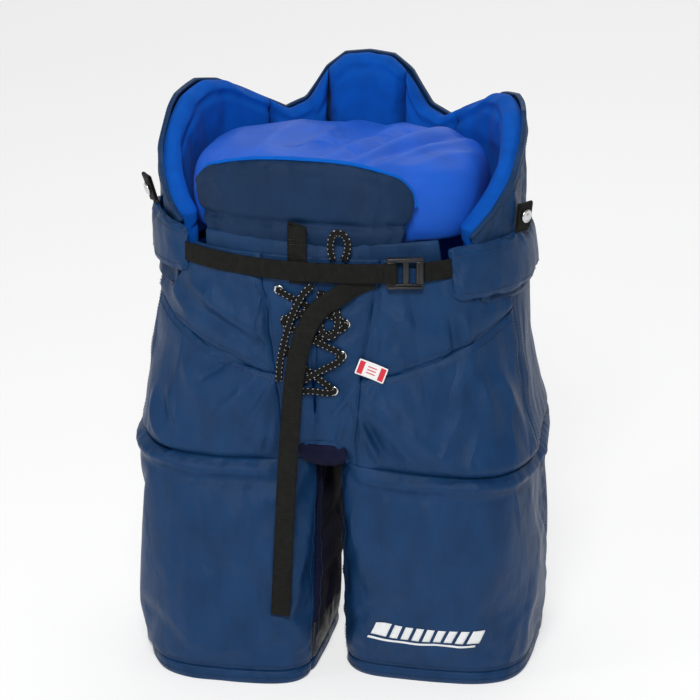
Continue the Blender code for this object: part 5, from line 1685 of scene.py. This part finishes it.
def build_keeper():
    """The webbing keeper on the fly, folded over at its top."""
    fold = [(-0.0215, -0.1280, 0.4800), (-0.0215, -0.1290, 0.4862), (-0.0215, -0.1306, 0.4876)]
    path = smooth_path(fold + list(KEEPER_PATH), 0.0006)
    piece = strap("fly_keeper_look", path, facing_out(path), WEB_WIDTH, WEB_THICK, FINISHES["webbing"], WEB_RIB)
    finish_piece(piece, "pants", "black_webbing", "fly_keeper")
    across = np.linspace(-0.0295, -0.0135, 12)
    line = np.stack([across, np.full_like(across, -0.1326), np.full_like(across, 0.4740)], -1)
    forwards = np.tile([0.0, -1.0, 0.0], (len(across), 1))
    rows = [(line + np.array([0.0, 0.0, drop]), forwards) for drop in (0.0, -0.005)]
    sewn = stitches("keeper_stitching", rows, FINISHES["black_thread"])
    finish_piece(sewn, "pants", "black_webbing")


# A suspender button: radius and distance outwards, from its stem to the middle of its face.
BUTTON_PROFILE = ((0.0030, 0.0), (0.0030, 0.0012), (0.0062, 0.0013), (0.0068, 0.0018), (0.0067, 0.0024),
                  (0.0058, 0.0030), (0.0050, 0.0029), (0.0044, 0.0026), (0.0030, 0.0030), (0.0014, 0.0034),
                  (0.0004, 0.0035))


def build_tabs():
    """A folded webbing tab with a suspender button on each hip."""
    for side, sign in SIDES.items():
        inset, drop, tall, lean = TABS[side]
        foot = Vector((sign * (TAB_FOOT[0] - inset), TAB_FOOT[1], TAB_FOOT[2] - drop))
        rise = Vector((sign * math.sin(lean), 0.0, math.cos(lean)))
        out = Vector((sign * math.cos(lean) * math.cos(TAB_TURN), -math.sin(TAB_TURN), -math.sin(lean)))
        along = Vector((sign * math.sin(TAB_TURN), math.cos(TAB_TURN), 0.0))
        stops = ((-0.0012, 0.000), (-0.0012, 0.012), (-0.0013, 0.026), (-0.0010, tall - 0.001),
                 (0.0004, tall), (0.0014, tall - 0.002), (0.0012, 0.022), (0.0011, 0.010), (0.0011, 0.004))
        route = [foot + rise * reach + out * depth for depth, reach in stops]
        path = smooth_path(route, 0.0006)
        normals = np.cross(np.gradient(path, axis=0), np.tile(np.array(along), (len(path), 1)))
        piece = strap(f"suspender_tab_{side}_look", path, normals, WEB_WIDTH, 0.0014, FINISHES["webbing"], WEB_RIB)
        finish_piece(piece, f"tab_{side}", "black_webbing", f"suspender_tab_{side}")
        centre = foot + rise * 0.017 + out * 0.0019
        button = turned(f"tab_button_{side}_look", centre, out, BUTTON_PROFILE, FINISHES["metal"])
        finish_piece(button, f"tab_{side}", "silver_metal", f"tab_button_{side}")


def build_label():
    """The woven side label, sewn into the fly's seam."""
    outward = body_out(LABEL_ANGLE, LABEL_HEIGHT)
    centre = Vector(body_xyz(LABEL_ANGLE, LABEL_HEIGHT)) + outward * 0.0030
    flat = Vector((-outward.y, outward.x, 0.0))
    up = Vector((0.0, 0.0, 1.0))
    across = flat * math.cos(LABEL_TILT) - up * math.sin(LABEL_TILT)
    rise = flat * math.sin(LABEL_TILT) + up * math.cos(LABEL_TILT)
    a, b = np.meshgrid(np.linspace(-0.5, 0.5, 17), np.linspace(-0.5, 0.5, 9))
    curl = 0.0048 * (a + 0.1) ** 2 - 0.0006
    points = (np.array(centre) + a[..., None] * LABEL_SIZE[0] * np.array(across)
              + b[..., None] * LABEL_SIZE[1] * np.array(rise) + curl[..., None] * np.array(outward))
    uvs = np.stack([a + 0.5, b + 0.5], -1)
    piece = make_piece("side_label_look", points, grid_faces(*a.shape), FINISHES["label"], uvs)
    thicken(piece, LABEL_THICK)
    finish_piece(piece, "pants", "label_cloth", "side_label")


BAR_PITCH, BAR_WIDTH, BAR_COUNT = 4.9, 3.4, 7


def build_mark(surface_points, angle):
    """A row of plain slanted white bars printed low on the left thigh, with a thin line under them."""
    pieces = []
    bars = [(-26.0, -19.0)]
    bars += [(-17.5 + BAR_PITCH * bar, -17.5 + BAR_PITCH * bar + BAR_WIDTH) for bar in range(BAR_COUNT)]
    bars.append((16.8, 22.2))
    spans = [(*bar, 0.0515, 0.0665, 2.6) for bar in bars] + [(-27.5, 20.5, 0.0465, 0.0488, 0.4)]
    for number, (start, end, low, high, slant) in enumerate(spans):
        columns = max(int((end - start) * 1.4), 4)
        a, b = np.meshgrid(np.linspace(start, end, columns), np.linspace(0, 1, 9))
        points = on_leg(surface_points, angle, a + slant * b, low + (high - low) * b, 0.0007)
        pieces.append(make_piece(f"bar_{number}", points, grid_faces(*a.shape), FINISHES["mark"]))
    piece = join("leg_mark_look", pieces)
    thicken(piece, MARK_THICK, smooth=False)
    finish_piece(piece, "pants", "mark_print", "leg_mark")


def on_leg(points, angle, turn, level, out):
    """Points on the settled left leg at given angles and heights, a little outside its cloth."""
    columns = np.interp(turn.ravel(), angle[0], np.arange(angle.shape[1]))
    outward = outward_of(points, False)
    result = []
    for column, z in zip(columns, level.ravel()):
        near = int(column)
        share = column - near
        line = points[:, near] * (1 - share) + points[:, near + 1] * share
        normal = outward[:, near] * (1 - share) + outward[:, near + 1] * share
        row = np.interp(z, line[:, 2], np.arange(len(line)))
        first = min(int(row), len(line) - 2)
        part = row - first
        place = line[first] * (1 - part) + line[first + 1] * part
        result.append(place + normal[first] * out)
    return np.array(result).reshape(*turn.shape, 3)


# ---------------------------------------------------------------- hidden layers
LINER_LOW, LINER_TOP = 0.262, 0.415


def soften(node):
    """A rounded soft copy of a plain CAD foam, which is seen only from below."""
    source = frame["nodes"][node]
    mesh = source.data.copy()
    mesh.transform(source.matrix_world)
    mesh.materials.clear()
    mesh.materials.append(FINISHES["foam"])
    piece = link(node + "_look", mesh)
    remesh = piece.modifiers.new("even", "REMESH")
    remesh.mode = "VOXEL"
    remesh.voxel_size = 0.0030
    remesh.use_smooth_shade = True
    smoother = piece.modifiers.new("round", "SMOOTH")
    smoother.iterations = 6
    finish_piece(piece, "pants", "white_foam", node)


def build_hidden():
    """Foam, plates and the waist's lining."""
    for side in SIDES:
        soften(f"thigh_foam_{side}")
        soften(f"hip_foam_{side}")
    for name in ("thigh_plate_right", "thigh_plate_left", "hip_plate_right", "hip_plate_left", "tail_plate"):
        materials = frame["nodes"][name].data.materials
        materials.clear()
        materials.append(FINISHES["plate"])
    angles = np.linspace(0, 360, 180, endpoint=False)
    angle, height = np.meshgrid(angles, np.linspace(LINER_LOW, LINER_TOP, 30))
    points = body_xyz(angle, height, -0.0197)
    points += ruffle(points, 0.04, 0.0020, 8)[..., None] * np.array([0.7, 0.7, 0.0])
    uvs = np.stack([np.radians(angle) * BELT_ROUND, height], -1)
    piece = make_piece("waist_liner_look", points, grid_faces(*angle.shape, wrap=True), FINISHES["lining"], uvs)
    thicken(piece, LINER_THICK, smooth=False)
    finish_piece(piece, "pants", "blue_lining", "waist_liner")


# ---------------------------------------------------------------- floor and light
# Where the floor starts to bend up, and the radius of the bend.
FLOOR_BACK, FLOOR_BEND = 2.2, 1.6


def add_stage():
    """A pale floor that curves up into a backdrop."""
    profile = [(-6.0, 0.0), (FLOOR_BACK, 0.0)]
    for turn in np.linspace(0, math.pi / 2, 12):
        profile.append((FLOOR_BACK + FLOOR_BEND * math.sin(turn), FLOOR_BEND - FLOOR_BEND * math.cos(turn)))
    profile.append((FLOOR_BACK + FLOOR_BEND, 6.0))
    points = np.array([[(x, y, z) for x in (-7.0, 7.0)] for y, z in profile])
    finish = Finish("pale_floor", (0.42, 0.42, 0.42), 0.9)
    finish.set("Emission Color", (1.0, 1.0, 1.0, 1.0)).set("Emission Strength", 0.62)
    finish.set("Specular IOR Level", 0.0)
    floor = make_piece("floor", points, grid_faces(len(profile), 2), finish.material)


# Each lamp: name, place, target, size and power.
LIGHTS = (
    ("key", (0.25, -2.2, 2.15), (0.0, 0.0, 0.28), 0.8, 50.0),
    ("side", (-2.2, -1.6, 1.1), (0.0, 0.0, 0.28), 0.6, 13.0),
    ("fill", (2.6, -1.2, 1.3), (0.0, 0.0, 0.28), 1.2, 3.0),
    ("top", (0.0, 0.3, 2.9), (0.0, 0.0, 0.3), 1.6, 17.0),
    ("rim", (0.3, 2.2, 1.9), (0.0, 0.0, 0.4), 1.6, 6.0),
)


def add_lights():
    """Large soft lamps on both sides and above, in a pale room."""
    for name, place, target, size, power in LIGHTS:
        data = bpy.data.lights.new(name, "AREA")
        data.shape = "DISK"
        data.size = size
        data.energy = power
        lamp = link(name, data)
        lamp.location = place
        lamp.rotation_euler = (Vector(target) - Vector(place)).to_track_quat("-Z", "Y").to_euler()
    world = bpy.data.worlds.new("studio")
    world.use_nodes = True
    background = world.node_tree.nodes["Background"]
    background.inputs["Color"].default_value = (0.90, 0.92, 0.95, 1.0)
    background.inputs["Strength"].default_value = 0.13
    bpy.context.scene.world = world
    bpy.context.scene.view_settings.view_transform = "Standard"


def main():
    """Build every piece."""
    add_camera()
    make_finishes()
    add_cords()
    legs = {side: build_leg(side) for side in SIDES}
    build_mark(*legs["left"])
    build_crotch(build_hips({side: points[-1] for side, (points, _) in legs.items()}))
    build_band()
    build_pads()
    build_insert()
    build_flap()
    build_tongue()
    build_covers()
    build_belt()
    build_buckle()
    build_eyelets()
    build_lacing()
    build_keeper()
    build_tabs()
    build_label()
    build_hidden()
    add_stage()
    add_lights()


main()
